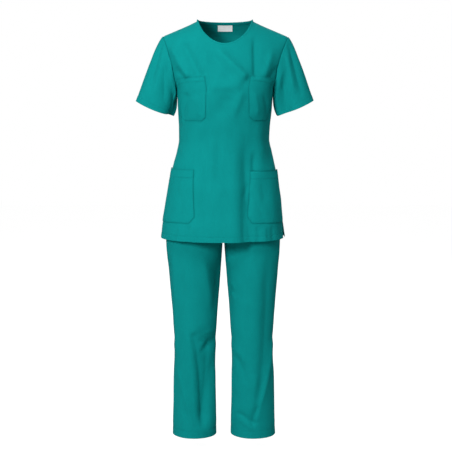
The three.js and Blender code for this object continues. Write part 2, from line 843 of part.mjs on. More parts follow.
function legPoint(side, face, angle, z) {
  const { centre, half } = legSection(side, z);
  const across = Math.sin(radians(angle));
  const facing = Math.max(Math.cos(radians(angle)), 0);
  const x = centre + side * half * across;
  const calm = ease(facing / LEG_CALM.facing) * ease((CROTCH - z) / LEG_CALM.under);
  const lift = foldLift(face.legFolds, x, z) * calm;
  const depth = TROUSERS(face.depth, z) * facing + lift * facing;
  return new THREE.Vector3(x + side * lift * across, face.sign * (SEAM_GAP / 2 + depth), z);
}

function legRows() {
  const { lowRows, seatRows, topRows } = LEG_GRID;
  const rows = [];
  for (let k = 0; k < lowRows; k += 1) rows.push(mix(TROUSER_HEM, CROTCH, k / lowRows));
  for (let k = 0; k < seatRows; k += 1) {
    rows.push(mix(CROTCH, SEAT_TOP, (k / seatRows) ** SEAT_ROW_CROWDING));
  }
  const top = WAIST_SEAM - WAISTBAND_GAP;
  for (let k = 0; k <= topRows; k += 1) rows.push(mix(SEAT_TOP, top, k / topRows));
  return rows;
}

function trouserPanel(side, face) {
  const columns = LEG_GRID[face.depth];
  const heights = legRows();
  const points = heights.map((z) => {
    const { start } = legSection(side, z);
    const line = [];
    for (let i = 0; i <= columns; i += 1) {
      line.push(legPoint(side, face, mix(start, 90, i / columns), z));
    }
    return line;
  });
  const normals = normalsOf(points, false);
  if (normals[0][columns / 2].y * face.sign < 0) flipAll(normals);
  normals.forEach((row, j) => {
    const inseam = heights[j] <= CROTCH + SMALL;
    row[columns].setY(0).normalize();
    if (inseam) row[0].setY(0).normalize();
    else row[0].setX(side > 0 ? Math.min(row[0].x, 0) : Math.max(row[0].x, 0)).normalize();
  });
  return shell(points, moved(points, normals, -CLOTH_WALL), false);
}

addPiece("trouser_front_left", trouserPanel(1, FRONT), TEAL);
addPiece("trouser_front_right", trouserPanel(-1, FRONT), TEAL);
addPiece("trouser_back_left", trouserPanel(1, BACK), TEAL);
addPiece("trouser_back_right", trouserPanel(-1, BACK), TEAL);

// Elastic waistband ring on top of the four trouser panels
{
  const heights = [WAIST_SEAM, (WAIST_SEAM + WAIST_TOP) / 2, WAIST_TOP];
  const ring = (offset) =>
    heights.map((z) => {
      const right = TROUSERS("rightOut", z);
      const left = TROUSERS("leftOut", z);
      const line = [];
      for (let k = 0; k < WAIST_STEPS; k += 1) {
        const turn = (2 * Math.PI * k) / WAIST_STEPS;
        const facing = Math.cos(turn);
        const depth = facing > 0 ? TROUSERS("front", z) : TROUSERS("back", z);
        line.push(
          new THREE.Vector3(
            (left + right) / 2 + ((left - right) / 2 + offset) * Math.sin(turn),
            -(depth + offset) * facing,
            z,
          ),
        );
      }
      return line;
    });
  const band = shell(ring(WAISTBAND_PROUD), ring(WAISTBAND_PROUD - WAISTBAND_WALL), true);
  addPiece("waistband", band, TEAL);
}

export default group;
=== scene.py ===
# A set of medical scrubs in its worn form, without a wearer: a short-sleeved tunic over trousers.
# Sizes are millimetres until a point is placed, and heights run down from the neck side points.
# Left and right are the wearer's, left at +X, and the front faces -Y.
import functools
import json
import math
from collections import namedtuple

import bmesh
import bpy
from mathutils import Matrix, Vector, noise
from mathutils.bvhtree import BVHTree

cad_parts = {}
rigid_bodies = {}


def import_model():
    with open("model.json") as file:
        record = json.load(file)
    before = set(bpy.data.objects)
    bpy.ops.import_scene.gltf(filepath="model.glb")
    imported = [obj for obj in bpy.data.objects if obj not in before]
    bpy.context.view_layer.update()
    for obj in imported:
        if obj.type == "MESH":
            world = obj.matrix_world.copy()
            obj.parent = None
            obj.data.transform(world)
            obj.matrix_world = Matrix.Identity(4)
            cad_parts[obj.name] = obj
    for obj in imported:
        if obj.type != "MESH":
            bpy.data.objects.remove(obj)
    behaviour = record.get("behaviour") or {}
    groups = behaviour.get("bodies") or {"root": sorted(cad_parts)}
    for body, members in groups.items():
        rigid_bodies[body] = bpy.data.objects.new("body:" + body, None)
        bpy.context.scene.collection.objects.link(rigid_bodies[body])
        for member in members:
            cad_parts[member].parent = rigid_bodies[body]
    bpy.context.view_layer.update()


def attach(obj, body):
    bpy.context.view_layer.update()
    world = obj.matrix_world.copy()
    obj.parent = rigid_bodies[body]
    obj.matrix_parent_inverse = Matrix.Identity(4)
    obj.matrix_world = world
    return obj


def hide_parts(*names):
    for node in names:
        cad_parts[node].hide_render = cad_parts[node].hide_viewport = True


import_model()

MM = 0.001

# Camera and floor
CAMERA_DISTANCE = 3900
CAMERA_ELEVATION = 8
CAMERA_AIM = (3.4, 0, -692)
CAMERA_LENS = 90.96
FLOOR_HEIGHT = -1470
FLOOR_SIDE = 14000

# Cloth
CLOTH_WALL = 1.0
BODY = "root"
SEAM_DEPTH = 0.9
SEAM_HALF = 2.6
HEM_GROOVE = 0.55
HEM_STEP = 0.35
SEAM_REACH = 12
# Painted shade along seams, hems and pocket edges: half width of the darkened band, then how dark
# it is on each kind of line
PAINTED_SHADE_HALF = 1.7
SEAM_PAINTED_SHADE = 0.5
ARMHOLE_PAINTED_SHADE = 0.9
HEM_PAINTED_SHADE = 0.18
POCKET_PAINTED_SHADE = 0.75

# Tunic levels and neck
TUNIC_HEM = -729
TUNIC_HEM_RISE = 18
ARMPIT = -227
HIGH_RUN = 175
VENT_TOP = -644
VENT_PULL_POWER = 7
NECK_HALF_WIDTH = 93.5
NECK_SIDE_HEIGHT = -3
NECK_DROP_POWER = 1.4
NECK_CROWDING = 1.3
NECK_SHARE = 0.5
NECK_ROOT_RISE = 28
HIGH_CROWDING = 1.7
SHOULDER_END = {1: 210.5, -1: 206.5}
SIDE_RUN = 250
SEAM_CALM = 26
ARMPIT_BLEND = 0.12

# Trouser levels
TROUSER_HEM = -1421.5
TROUSER_HEM_RISE = 25
CROTCH = -690
SEAT_TOP = -580
SEAT_CURVE = 1.5
WAIST_SEAM = -440
WAIST_TOP = -400
TROUSER_MIDDLE = -5.5
LEG_RUN = 150

# Waistband
WAISTBAND_OUT = 0.4
WAISTBAND_WALL = 2.4
WAISTBAND_GIRTH = 760
WAISTBAND_ROWS = (-428, -412)
GATHERS = 74

# Neck trims: heights past the neck edge and distances out of the cloth
NECK_CORNERS = 240
NECK_SMOOTHING = 8
NECK_PROBE = 0.01
NECK_GIRTH = 440
BINDING_MIDDLE = 2.95
BINDING_HALF = 3.05
BINDING_PLUMP = 1.1
BINDING_STITCH = 1.9
TAPE_HALF = 4.4
TAPE_WALL = 0.8
TAPE_OUT = -2.9
LABEL_MIDDLE = 0.5
LABEL_HALF = 25
LABEL_TOP = -14.6
LABEL_HEIGHT = 20
LABEL_OUT = -2.1
LABEL_WALL = 0.6
LABEL_STITCH = 1.6

# Stitches and pockets
STITCH = 3.2
STITCH_RADIUS = 0.3
VENT_STITCH = 8
POCKET_STEP = 1.7
POCKET_OUT = 1.5
POCKET_SLACK = 2.2
POCKET_STITCH = 3.5
# Width of the painted shadow under a pocket's top edge, in widths of the painted seam shade
MOUTH_SHADOW_SPREAD = 2.2

# Corners seen from the front, going round from the top inner one; edges that are sewn down and
# those of them with stitching on show; depth of the hem along the top, how far the opening stands
# away, and how dark the painted shadow in the opening is
Pocket = namedtuple("Pocket", "name outline sewn stitched hem gape mouth")
POCKETS = [
    Pocket(
        "chest_pocket_right",
        [
            (-65, -183), (-62, -316), (-75, -329), (-134, -329),
            (-147, -316), (-158, -194), (-125, -186),
        ],
        5, 5, 17, 2, 0.35,
    ),
    Pocket(
        "chest_pocket_left",
        [
            (82, -181), (77, -313), (91, -328), (136, -328),
            (148, -316), (158, -193), (126, -184),
        ],
        5, 5, 17, 2, 0.35,
    ),
    Pocket(
        "hip_pocket_right",
        [(-102, -489), (-101, -646), (-119, -667), (-260, -672), (-260, -491)],
        4, 3, 28, 2.2, 0.4,
    ),
    Pocket(
        "hip_pocket_left",
        [(86, -493), (77.5, -645), (93, -667), (260, -674), (260, -497)],
        4, 3, 28, 3.4, 1,
    ),
]

Vent = namedtuple("Vent", "angle pull")
VENTS = {1: Vent(84, 5.5), -1: Vent(87, 1)}


def clamp(value, low, high):
    return min(max(value, low), high)


def ease(value):
    t = clamp(value, 0, 1)
    return t * t * (3 - 2 * t)


def mix(start, end, share):
    return start + (end - start) * share


def sign(value):
    return -1 if value < 0 else 1


def hump(value):
    """1 at nought, fading to nought by about 2 either way."""
    return math.exp(-value * value)


class Sections:
    """A table of sections, read smoothly between its rows and never past its neighbours."""

    def __init__(self, names, rows):
        self.at = [row[0] for row in rows]
        self.columns = {name: [row[i] for row in rows] for i, name in enumerate(names)}

    def slope(self, values, i):
        return (values[i + 1] - values[i]) / (self.at[i + 1] - self.at[i])

    def tangent(self, values, i):
        last = len(values) - 1
        if i == 0:
            return self.slope(values, 0)
        if i == last:
            return self.slope(values, last - 1)
        before = self.slope(values, i - 1)
        after = self.slope(values, i)
        return 0 if before * after <= 0 else 2 * before * after / (before + after)

    @functools.lru_cache(maxsize=None)
    def read(self, name, where):
        values = self.columns[name]
        if where <= self.at[0]:
            return values[0]
        if where >= self.at[-1]:
            return values[-1]
        k = 0
        while where > self.at[k + 1]:
            k += 1
        step = self.at[k + 1] - self.at[k]
        t = (where - self.at[k]) / step
        leave = t * (1 - t) ** 2 * step * self.tangent(values, k)
        arrive = t * t * (t - 1) * step * self.tangent(values, k + 1)
        return mix(values[k], values[k + 1], t * t * (3 - 2 * t)) + leave + arrive


# Tunic sections: side edges, depth forward and back of the side seams, roundness of the corners
TUNIC = Sections(
    ("z", "right", "left", "front", "back", "corner"),
    [
        (-729, -219, 205, 140, 141, 0.92),
        (-680, -213, 198, 136, 141, 0.92),
        (-639, -205, 192, 131, 140, 0.92),
        (-597, -198, 188, 128, 137, 0.92),
        (-556, -191, 181.5, 126, 130, 0.92),
        (-516, -184, 176, 122, 121, 0.92),
        (-475, -173.5, 167, 119.5, 110, 0.92),
        (-434, -162, 158, 118.5, 103, 0.89),
        (-393, -155, 149.5, 119.5, 101, 0.85),
        (-353, -155, 151, 122.5, 102, 0.81),
        (-306, -157.6, 156, 127.5, 104, 0.76),
        (-262, -159.5, 159, 132, 107, 0.72),
        (-227, -161, 161, 133.5, 109, 0.7),
        (-200, -172, 172, 131, 110, 0.77),
        (-155, -193, 193, 122, 109, 0.9),
        (-105, -214, 214, 105, 105, 1),
        (-58, -238, 238, 91, 97, 1),
        (0, -262, 262, 80, 83, 1),
        (30, -262, 262, 80, 83, 1),
    ],
)

# Distance of the armhole seam from the middle, going up from the armpit
ARMHOLE = Sections(
    ("z", "across"),
    [
        (-227, 161), (-215, 163), (-200, 166), (-185, 169.5), (-155, 174.5),
        (-130, 180), (-105, 188), (-80, 198), (-54, 209),
    ],
)
ARMHOLE_TOP = -55

# Height of the shoulder line going out from the neck
SHOULDER = Sections(
    ("across", "height"),
    [(93.5, -3), (125, -18), (165, -35), (205, -52), (211, -55), (260, -80)],
)

# Sleeve hems: outer and inner corners (distance out, height), half depth, sag of the middle
SleeveHem = namedtuple("SleeveHem", "outer inner depth sag")
SLEEVE_HEMS = {
    1: SleeveHem((298, -265.5), (175.5, -316), 45, 4),
    -1: SleeveHem((300, -267.5), (173.5, -318), 45, 5),
}
SLEEVE_HEM_RISE = 20
SLEEVE_LENGTH = 235
SLEEVE_GIRTH = 380

# How the sleeve leaves the armhole and reaches its hem, in shares of its length at that place
SleeveRun = namedtuple("SleeveRun", "out front down")
SLEEVE_LEAVE = {
    "over": SleeveRun(0.263, 0, 0.162),
    "side": SleeveRun(0.38, 0.1, 0.75),
    "under": SleeveRun(-0.02, 0, 0.9),
}
SLEEVE_ARRIVE = {
    "over": SleeveRun(0.366, 0, 0.93),
    "side": SleeveRun(0.366, 0, 0.93),
    "under": SleeveRun(0.55, 0, 0.7),
}

# Trouser sections: outer and inner edges of each leg, depth forward and back
TROUSERS = Sections(
    ("z", "right_out", "right_in", "left_in", "left_out", "front", "back"),
    [
        (-1422, -183, -30, 20, 175, 72, 62),
        (-1358, -181, -31, 21, 172, 70, 62),
        (-1271, -178, -32, 23.5, 170, 67, 62),
        (-1185, -176.5, -33, 24, 167, 66, 63),
        (-1100, -176, -31.5, 22, 165, 66, 65),
        (-1015, -179, -27, 17, 169, 69, 70),
        (-930, -186, -21, 11, 175, 74, 78),
        (-846, -193, -14, 4, 182, 80, 90),
        (-763, -201, -8.5, -2.6, 188, 84, 96),
        (-690, -202.5, -5.65, -5.35, 190, 90, 102),
        (-650, -200, -5.65, -5.35, 189, 100, 113),
        (-600, -195.4, -5.65, -5.35, 185.4, 110, 123),
        (-560, -186.5, -5.65, -5.35, 177, 111, 118),
        (-500, -169, -5.65, -5.35, 161.5, 106, 105),
        (-440, -146, -5.65, -5.35, 141, 102, 90),
        (-400, -143, -5.65, -5.35, 137.5, 101, 88),
    ],
)

# Folds, seen from the front: both ends, sideways bow of the middle, half width and lift off the
# form, how much wider the +X side is, how crisp the crest is (2 is round), and the share over
# which each end fades
Fold = namedtuple("Fold", "x0 z0 x1 z1 bow width lift lean crisp fade0 fade1")


def folds(*rows):
    return [Fold(*row) for row in rows]


FRONT_FOLDS = folds(
    (-180, -74, -114, -192, 0, 14, 9.5, -0.3, 1.7, 0.25, 0.12),
    (-150, -68, -82, -194, 0, 14, -11.0, 0.4, 1.7, 0.25, 0.1),
    (-165, -158, -126, -192, 0, 9, -4.6, 0, 1.6, 0.3, 0.15),
    (-62, -84, -60, -200, 0, 8, 1.4, 0, 1.4, 0.3, 0.2),
    (-40, -78, 78, -196, 0, 17, 11.5, -0.3, 1.6, 0.3, 0.15),
    (-62, -96, 34, -200, 0, 20, -5.5, 0, 1.8, 0.3, 0.2),
    (96, -44, 100, -194, 0, 12, -6.4, 0.3, 1.7, 0.35, 0.1),
    (158, -84, 122, -192, 3, 12, 5.0, 0.1, 1.8, 0.4, 0.15),
    (180, -142, 146, -196, 0, 11, -5.0, 0.1, 1.7, 0.5, 0.2),
    (-58, -216, 66, -216, 0, 17, 4.2, 0, 2, 0.25, 0.25),
    (-60, -228, -56, -330, 0, 10, 2.4, 0, 1.7, 0.2, 0.4),
    (4, -240, -14, -330, 0, 24, -4.6, 0, 2, 0.3, 0.5),
    (58, -226, 22, -330, 0, 15, 4.4, -0.2, 1.8, 0.2, 0.5),
    (-122, -230, -142, -334, 0, 12, -5.4, 0, 1.5, 0.2, 0.2),
    (-92, -236, -82, -330, 0, 13, 3.6, -0.2, 1.7, 0.3, 0.3),
    (122, -226, 142, -334, 3, 12, -5.0, 0.2, 1.6, 0.4, 0.2),
    (92, -226, 104, -322, 3, 11, 3.4, 0, 1.7, 0.3, 0.3),
    (132, -322, 156, -495, 3, 17, -4.0, 0.2, 1.8, 0.3, 0.3),
    (104, -330, 124, -480, 0, 20, 3.0, 0, 2, 0.3, 0.4),
    (66, -330, 82, -800, 0, 26, -12.0, 0.25, 1.8, 0.4, 0.05),
    (58, -540, 64, -800, 0, 9, -2.2, 0.2, 1.6, 0.4, 0.05),
    (30, -345, 30, -760, 0, 19, 3.6, 0, 2, 0.35, 0.1),
    (88, -560, 84, -650, 0, 9, -3.0, 0, 1.6, 0.3, 0.3),
    (74, -640, 78, -800, 0, 7, 2.2, 0, 1.5, 0.3, 0.05),
    (97, -420, 99, -500, 0, 9, -5.6, 0.2, 1.6, 0.6, 0.05),
    (86, -528, 66, -596, 0, 11, -2.8, 0, 1.8, 0.35, 0.35),
    (-62, -350, -120, -515, -3, 16, -3.0, 0, 1.9, 0.3, 0.4),
    (-62, -350, -78, -740, 3, 16, -2.6, 0.1, 1.8, 0.3, 0.4),
    (-13, -340, -38, -600, 2, 16, -2.4, 0, 1.9, 0.3, 0.4),
    (-40, -360, -52, -560, 0, 13, 1.8, 0, 1.9, 0.3, 0.4),
    (-168, -500, -130, -690, 0, 14, -1.8, 0, 1.9, 0.4, 0.4),
    (-108, -500, -96, -640, 0, 7, 1.2, 0, 1.7, 0.3, 0.3),
    (116, -505, 132, -640, 4, 14, -3.4, 0.2, 1.8, 0.4, 0.4),
    (92, -560, 142, -690, 0, 12, -2.4, 0, 1.8, 0.4, 0.4),
    (148, -520, 160, -690, 0, 14, 1.0, 0, 1.8, 0.4, 0.3),
    (-150, -672, -160, -760, 0, 8, 2.6, 0, 1.7, 0.2, 0.05),
    (-122, -668, -124, -760, 0, 8, -2.8, 0, 1.7, 0.2, 0.05),
    (-96, -664, -100, -760, 0, 7, 2.0, 0, 1.7, 0.3, 0.05),
    (112, -670, 118, -800, 0, 7, -2.9, 0, 1.7, 0.2, 0.05),
    (132, -672, 140, -800, 0, 7, 2.4, 0, 1.7, 0.2, 0.05),
    (158, -672, 166, -800, 0, 7, -2.4, 0, 1.7, 0.2, 0.05),
)
BACK_FOLDS = folds(
    (-62, -300, -74, -800, 5, 19, -6.5, 0.2, 1.6, 0.35, 0.05),
    (68, -320, 60, -800, -4, 17, -7.5, -0.2, 1.6, 0.35, 0.05),
    (4, -360, -8, -800, 0, 22, 4.0, 0, 1.9, 0.35, 0.05),
    (-150, -130, -58, -215, -6, 17, -4.4, 0.1, 1.6, 0.3, 0.45),
    (150, -124, 66, -210, 6, 17, -5.0, 0.1, 1.6, 0.3, 0.45),
    (-126, -336, -36, -412, 5, 13, -4.6, 0.2, 1.6, 0.3, 0.4),
    (122, -342, 40, -414, -5, 13, -4.4, 0.2, 1.6, 0.3, 0.4),
    (-110, -372, -52, -430, 3, 10, 2.6, 0, 1.7, 0.3, 0.4),
    (104, -380, 52, -436, -3, 10, 2.6, 0, 1.7, 0.3, 0.4),
    (-104, -60, -60, -180, -4, 14, -2.6, 0, 1.8, 0.3, 0.5),
    (104, -60, 62, -170, 4, 14, -2.8, 0, 1.8, 0.3, 0.5),
    (-132, -450, -140, -760, 0, 15, 3.2, 0, 1.8, 0.3, 0.1),
    (128, -460, 134, -760, 0, 15, 3.0, 0, 1.8, 0.3, 0.1),
    (30, -470, 34, -800, 0, 11, -2.6, 0, 1.7, 0.4, 0.05),
)
LEG_FRONT_FOLDS = folds(
    (-36, -760, -12, -1010, 2, 25, -10.0, -0.1, 1.8, 0.35, 0.3),
    (-76, -775, -42, -985, 3, 14, 3.6, 0, 1.8, 0.3, 0.3),
    (-50, -1044, -76, -1400, 0, 33, -16.0, -0.4, 1.8, 0.14, 0.2),
    (-114, -1046, -81, -1400, 13, 12, -5.2, 0.5, 1.6, 0.06, 0.2),
    (-134, -1030, -102, -1400, 10, 13, 3.4, 0, 1.9, 0.15, 0.2),
    (-112, -1058, -44, -1038, 0, 12, -2.4, 0, 1.8, 0.25, 0.5),
    (-166, -1140, -104, -1386, -9, 7, 4.6, -0.2, 1.3, 0.3, 0.1),
    (-150, -1200, -124, -1380, -5, 9, -2.6, 0, 1.7, 0.3, 0.3),
    (-30, -1062, -88, -1112, -4, 12, 3.2, 0, 1.8, 0.35, 0.4),
    (-30, -1092, -86, -1134, -4, 12, -3.0, 0, 1.8, 0.35, 0.4),
    (-34, -1130, -75, -1396, 0, 14, -5.4, 0, 1.7, 0.25, 0.15),
    (-177, -760, -164, -1160, -2, 5, 2.6, 0, 1.3, 0.15, 0.15),
    (-150, -740, -146, -1100, 0, 14, -2.6, 0, 1.9, 0.3, 0.4),
    (142, -770, 114, -1330, 10, 17, -6.4, 0, 1.8, 0.25, 0.2),
    (179, -735, 164, -1040, 4, 6, 3.2, 0, 1.3, 0.15, 0.3),
    (166, -1010, 98, -1372, 17, 8, 5.6, 0.2, 1.3, 0.3, 0.06),
    (28, -1104, 96, -1168, -5, 12, 2.6, 0, 1.8, 0.3, 0.5),
    (2, -772, 94, -764, 0, 26, -12.0, 0, 2, 0.25, 0.35),
    (26, -1112, 82, -1250, 4, 13, -3.6, 0.1, 1.7, 0.25, 0.5),
    (96, -1372, 126, -1290, 4, 9, -7.6, 0, 1.5, 0.12, 0.5),
    (36, -1330, 104, -1378, 4, 8, -4.6, 0, 1.6, 0.3, 0.08),
    (36, -1350, 98, -1392, 4, 10, 2.6, 0, 1.7, 0.3, 0.2),
    (14, -890, 42, -932, 0, 8, -3.4, 0, 1.6, 0.3, 0.5),
    (20, -860, 36, -960, 0, 9, 1.8, 0, 1.8, 0.3, 0.4),
    (112, -1180, 84, -1350, 0, 14, 3.0, 0, 1.9, 0.3, 0.3),
)
LEG_BACK_FOLDS = folds(
    (-100, -740, -114, -1010, 4, 16, -5.5, 0.2, 1.6, 0.3, 0.4),
    (-150, -1056, -58, -1108, 5, 11, -5.2, 0.1, 1.5, 0.25, 0.35),
    (-142, -1084, -62, -1140, 5, 11, 4.0, 0.1, 1.6, 0.3, 0.4),
    (-96, -1110, -106, -1400, -5, 13, 4.4, 0, 1.6, 0.3, 0.1),
    (-120, -1130, -134, -1400, 4, 12, -4.4, 0, 1.6, 0.3, 0.1),
    (-60, -1170, -56, -1400, 0, 11, -3.6, 0, 1.7, 0.35, 0.1),
    (96, -740, 106, -990, -4, 16, -5.4, -0.2, 1.6, 0.3, 0.4),
    (38, -1066, 140, -1104, -4, 11, -5.2, 0, 1.5, 0.25, 0.35),
    (46, -1094, 132, -1134, -4, 11, 4.0, 0, 1.6, 0.3, 0.4),
    (96, -1112, 88, -1400, 5, 13, 4.4, 0, 1.6, 0.3, 0.1),
    (124, -1130, 130, -1400, -4, 12, -4.2, 0, 1.6, 0.3, 0.1),
    (54, -1180, 46, -1400, 0, 11, -3.8, 0, 1.7, 0.35, 0.1),
)

# Folds of the sides, with the distance to the back in place of the distance to the left
TUNIC_SIDE_FOLDS = {
    1: folds(
        (-30, -245, -52, -372, 0, 13, -3.6, 0, 1.6, 0.15, 0.5),
        (26, -250, 44, -380, 0, 14, -3.4, 0, 1.6, 0.2, 0.5),
        (-34, -430, -44, -560, 0, 17, 2.2, 0, 1.9, 0.3, 0.4),
        (30, -600, 40, -800, 0, 13, 1.6, 0, 1.8, 0.4, 0.05),
        (66, -560, 78, -800, 0, 13, -2.4, 0, 1.7, 0.4, 0.05),
    ),
    -1: folds(
        (-24, -250, -48, -380, 0, 13, -3.4, 0, 1.6, 0.15, 0.5),
        (30, -246, 50, -372, 0, 14, -3.6, 0, 1.6, 0.2, 0.5),
        (-38, -440, -50, -570, 0, 17, 2.0, 0, 1.9, 0.3, 0.4),
        (26, -610, 34, -800, 0, 13, 1.6, 0, 1.8, 0.4, 0.05),
        (70, -570, 84, -800, 0, 13, -2.4, 0, 1.7, 0.4, 0.05),
    ),
}
LEG_SIDE_FOLDS = folds(
    (-20, -760, -26, -1010, 0, 13, -2.6, 0, 1.8, 0.3, 0.4),
    (34, -780, 40, -1040, 0, 14, -3.0, 0, 1.8, 0.3, 0.4),
    (-44, -1066, 40, -1100, 4, 14, -1.3, 0, 1.8, 0.3, 0.3),
    (-40, -1094, 44, -1130, 4, 14, 1.0, 0, 1.8, 0.3, 0.3),
    (-14, -1140, -22, -1400, 0, 12, 3.0, 0, 1.7, 0.3, 0.1),
    (24, -1130, 34, -1400, 0, 12, -3.0, 0, 1.7, 0.3, 0.1),
)

# Sleeve folds: degrees round from the top (front first) at the start and the end, shares of the way
# down, half width in degrees, lift, crispness, and the share over which each end fades
SleeveFold = namedtuple("SleeveFold", "turn0 turn1 start end width lift crisp fade")
SLEEVE_FOLDS = {
    1: [
        SleeveFold(46, 62, 0.0, 0.95, 12, -4.6, 1.6, 0.35),
        SleeveFold(74, 84, 0.05, 0.85, 11, 3.0, 1.8, 0.35),
        SleeveFold(112, 118, 0.24, 1.3, 18, -12.0, 1.7, 0.3),
        SleeveFold(144, 150, 0.26, 1.3, 16, 5.0, 1.8, 0.3),
        SleeveFold(20, 26, 0.1, 0.7, 10, 1.8, 1.8, 0.4),
        SleeveFold(-60, -70, 0.05, 0.9, 13, -4.4, 1.6, 0.35),
        SleeveFold(-100, -112, 0.1, 1.1, 13, -4.4, 1.6, 0.3),
        SleeveFold(-84, -88, 0.05, 0.85, 10, 2.6, 1.8, 0.35),
    ],
    -1: [
        SleeveFold(44, 60, 0.0, 0.85, 11, -4.4, 1.6, 0.35),
        SleeveFold(72, 82, 0.05, 0.95, 11, 3.2, 1.8, 0.35),
        SleeveFold(94, 112, 0.08, 0.85, 10, -5.2, 1.5, 0.3),
        SleeveFold(158, 164, 0.25, 1.3, 34, -15.0, 2, 0.3),
        SleeveFold(22, 28, 0.1, 0.75, 10, 1.6, 1.8, 0.4),
        SleeveFold(-56, -66, 0.05, 0.9, 13, -4.2, 1.6, 0.35),
        SleeveFold(-104, -116, 0.1, 1.1, 13, -4.6, 1.6, 0.3),
        SleeveFold(-82, -90, 0.05, 0.85, 10, 2.6, 1.8, 0.35),
    ],
}

Face = namedtuple("Face", "sign depth rounding neck_depth folds leg_folds")
FRONT = Face(-1, "front", 110, 79, FRONT_FOLDS, LEG_FRONT_FOLDS)
BACK = Face(1, "back", 80, 6.5, BACK_FOLDS, LEG_BACK_FOLDS)
FACES = {"front": FRONT, "back": BACK}
SIDES = {"left": 1, "right": -1}

# Where folds die away: toward a seam, under the shoulder and below the crotch
TUNIC_CALM = {"facing": 0.6, "under": 40, "side": 0.55, "side_over": 0.3}
LEG_CALM = {"facing": 0.45, "under": 60}

# Slow unevenness of hanging cloth: lift, and size across and down
WAVES = [(0.9, 64, 120), (0.4, 24, 40)]


def fold_lift(fold_list, x, z):
    """Lift of all folds at a place, each fading out at its ends."""
    lift = 0.0
    for fold in fold_list:
        run_x = fold.x1 - fold.x0
        run_z = fold.z1 - fold.z0
        run = math.hypot(run_x, run_z)
        along = ((x - fold.x0) * run_x + (z - fold.z0) * run_z) / (run * run)
        if not 0 < along < 1:
            continue
        aside = ((z - fold.z0) * run_x - (x - fold.x0) * run_z) / run
        aside -= fold.bow * 4 * along * (1 - along)
        off = abs(aside) / (fold.width * (1 + fold.lean * sign(aside)))
        if off > 3:
            continue
        fade = ease(along / fold.fade0) * ease((1 - along) / fold.fade1)
        lift += fold.lift * fade * math.exp(-(off ** fold.crisp))
    return lift


def waves(point):
    lift = 0.0
    for height, across, down in WAVES:
        where = Vector((point.x / across, point.y / across, point.z / down))
        lift += height * noise.noise(where)
    return lift


def spaced(start, end, step):
    """Values from start to end in even steps of about the given size."""
    count = max(round(abs(end - start) / step), 1)
    return [mix(start, end, k / count) for k in range(count + 1)]


# Tunic body
def shoulder_height(x):
    across = abs(x)
    if across >= NECK_HALF_WIDTH:
        return SHOULDER.read("height", across)
    return NECK_SIDE_HEIGHT + NECK_ROOT_RISE * (1 - (across / NECK_HALF_WIDTH) ** 2)


def vent_opening(z):
    return ease((VENT_TOP - z) / (VENT_TOP - TUNIC_HEM))


def tunic_point(face, x, z, off=0.0):
    """Place on the tunic seen from the front, moved off its outer face."""
    right = TUNIC.read("right", z)
    left = TUNIC.read("left", z)
    half = (left - right) / 2
    across = clamp((x - (left + right) / 2) / half, -1, 1)
    facing = math.sqrt(max(1 - across * across, 0))
    under = shoulder_height(x) - z
    rounding = math.sqrt(1 - (1 - clamp(under / face.rounding, 0, 1)) ** 2)
    depth = TUNIC.read(face.depth, z) * facing ** TUNIC.read("corner", z) * rounding
    calm = ease(facing / TUNIC_CALM["facing"]) * ease(under / TUNIC_CALM["under"])
    lift = fold_lift(face.folds, x, z) * calm
    sideways = ease((abs(across) - TUNIC_CALM["side"]) / TUNIC_CALM["side_over"])
    if sideways > 0:
        lift += fold_lift(TUNIC_SIDE_FOLDS[sign(across)], face.sign * depth, z) * sideways
    lift += off
    pull = 0
    if face is FRONT:
        pull = VENTS[sign(across)].pull * vent_opening(z) * across ** VENT_PULL_POWER
    return Vector((x + lift * across - pull, face.sign * (depth + lift * facing), z))


def top_edge(face, u):
    """Neck edge and shoulder line, from the middle (0) to the armhole (1)."""
    share = abs(u)
    if share <= NECK_SHARE:
        rest = 1 - share / NECK_SHARE
        turn = math.radians(90 * (1 - rest ** NECK_CROWDING))
        drop = max(math.cos(turn), 0) ** NECK_DROP_POWER
        x = NECK_HALF_WIDTH * math.sin(turn)
        return sign(u) * x, NECK_SIDE_HEIGHT - face.neck_depth * drop
    x = mix(NECK_HALF_WIDTH, SHOULDER_END[sign(u)], (share - NECK_SHARE) / (1 - NECK_SHARE))
    return sign(u) * x, shoulder_height(x)


def tunic_x(face, u, z):
    """How far to the left a place lies, from one side seam (-1) to the other (1)."""
    right = TUNIC.read("right", z)
    left = TUNIC.read("left", z)
    turn = 90 * u
    if face is FRONT:
        turn = u * mix(90, VENTS[sign(u)].angle, vent_opening(z))
    return (left + right) / 2 + (left - right) / 2 * math.sin(math.radians(turn))


def tunic_place(face, u, level):
    """A level is millimetres below the armpit, or the share of the way up to the top edge."""
    if level <= 0:
        z = ARMPIT + level
        return tunic_x(face, u, z), z
    top_x, top_z = top_edge(face, u)
    edge_z = mix(ARMPIT, SHOULDER.read("height", SHOULDER_END[sign(u)]), level)
    widest = ARMHOLE.read("across", ARMPIT)
    whole = ARMHOLE.read("across", ARMHOLE_TOP) - widest
    spread = min((ARMHOLE.read("across", edge_z) - widest) / whole, 1)
    return mix(widest * math.sin(math.radians(90 * u)), top_x, spread), mix(ARMPIT, top_z, level)


def tunic_form(face, u, level):
    return tunic_point(face, *tunic_place(face, u, level))


# Sleeves
def armhole_point(side, turn):
    """Armhole seam from the shoulder (0) down the front to the armpit (180), and up the back."""
    if turn >= 0:
        return tunic_form(FRONT, side, 1 - (turn / 180) ** HIGH_CROWDING)
    return tunic_form(BACK, side, 1 - (-turn / 180) ** HIGH_CROWDING)


def sleeve_hem_point(side, turn):
    hem = SLEEVE_HEMS[side]
    over = (1 + math.cos(turn)) / 2
    round_ = math.sin(turn)
    out = mix(hem.inner[0], hem.outer[0], over)
    height = mix(hem.inner[1], hem.outer[1], over) - hem.sag * round_ * round_
    return Vector((side * out, -hem.depth * round_, height))


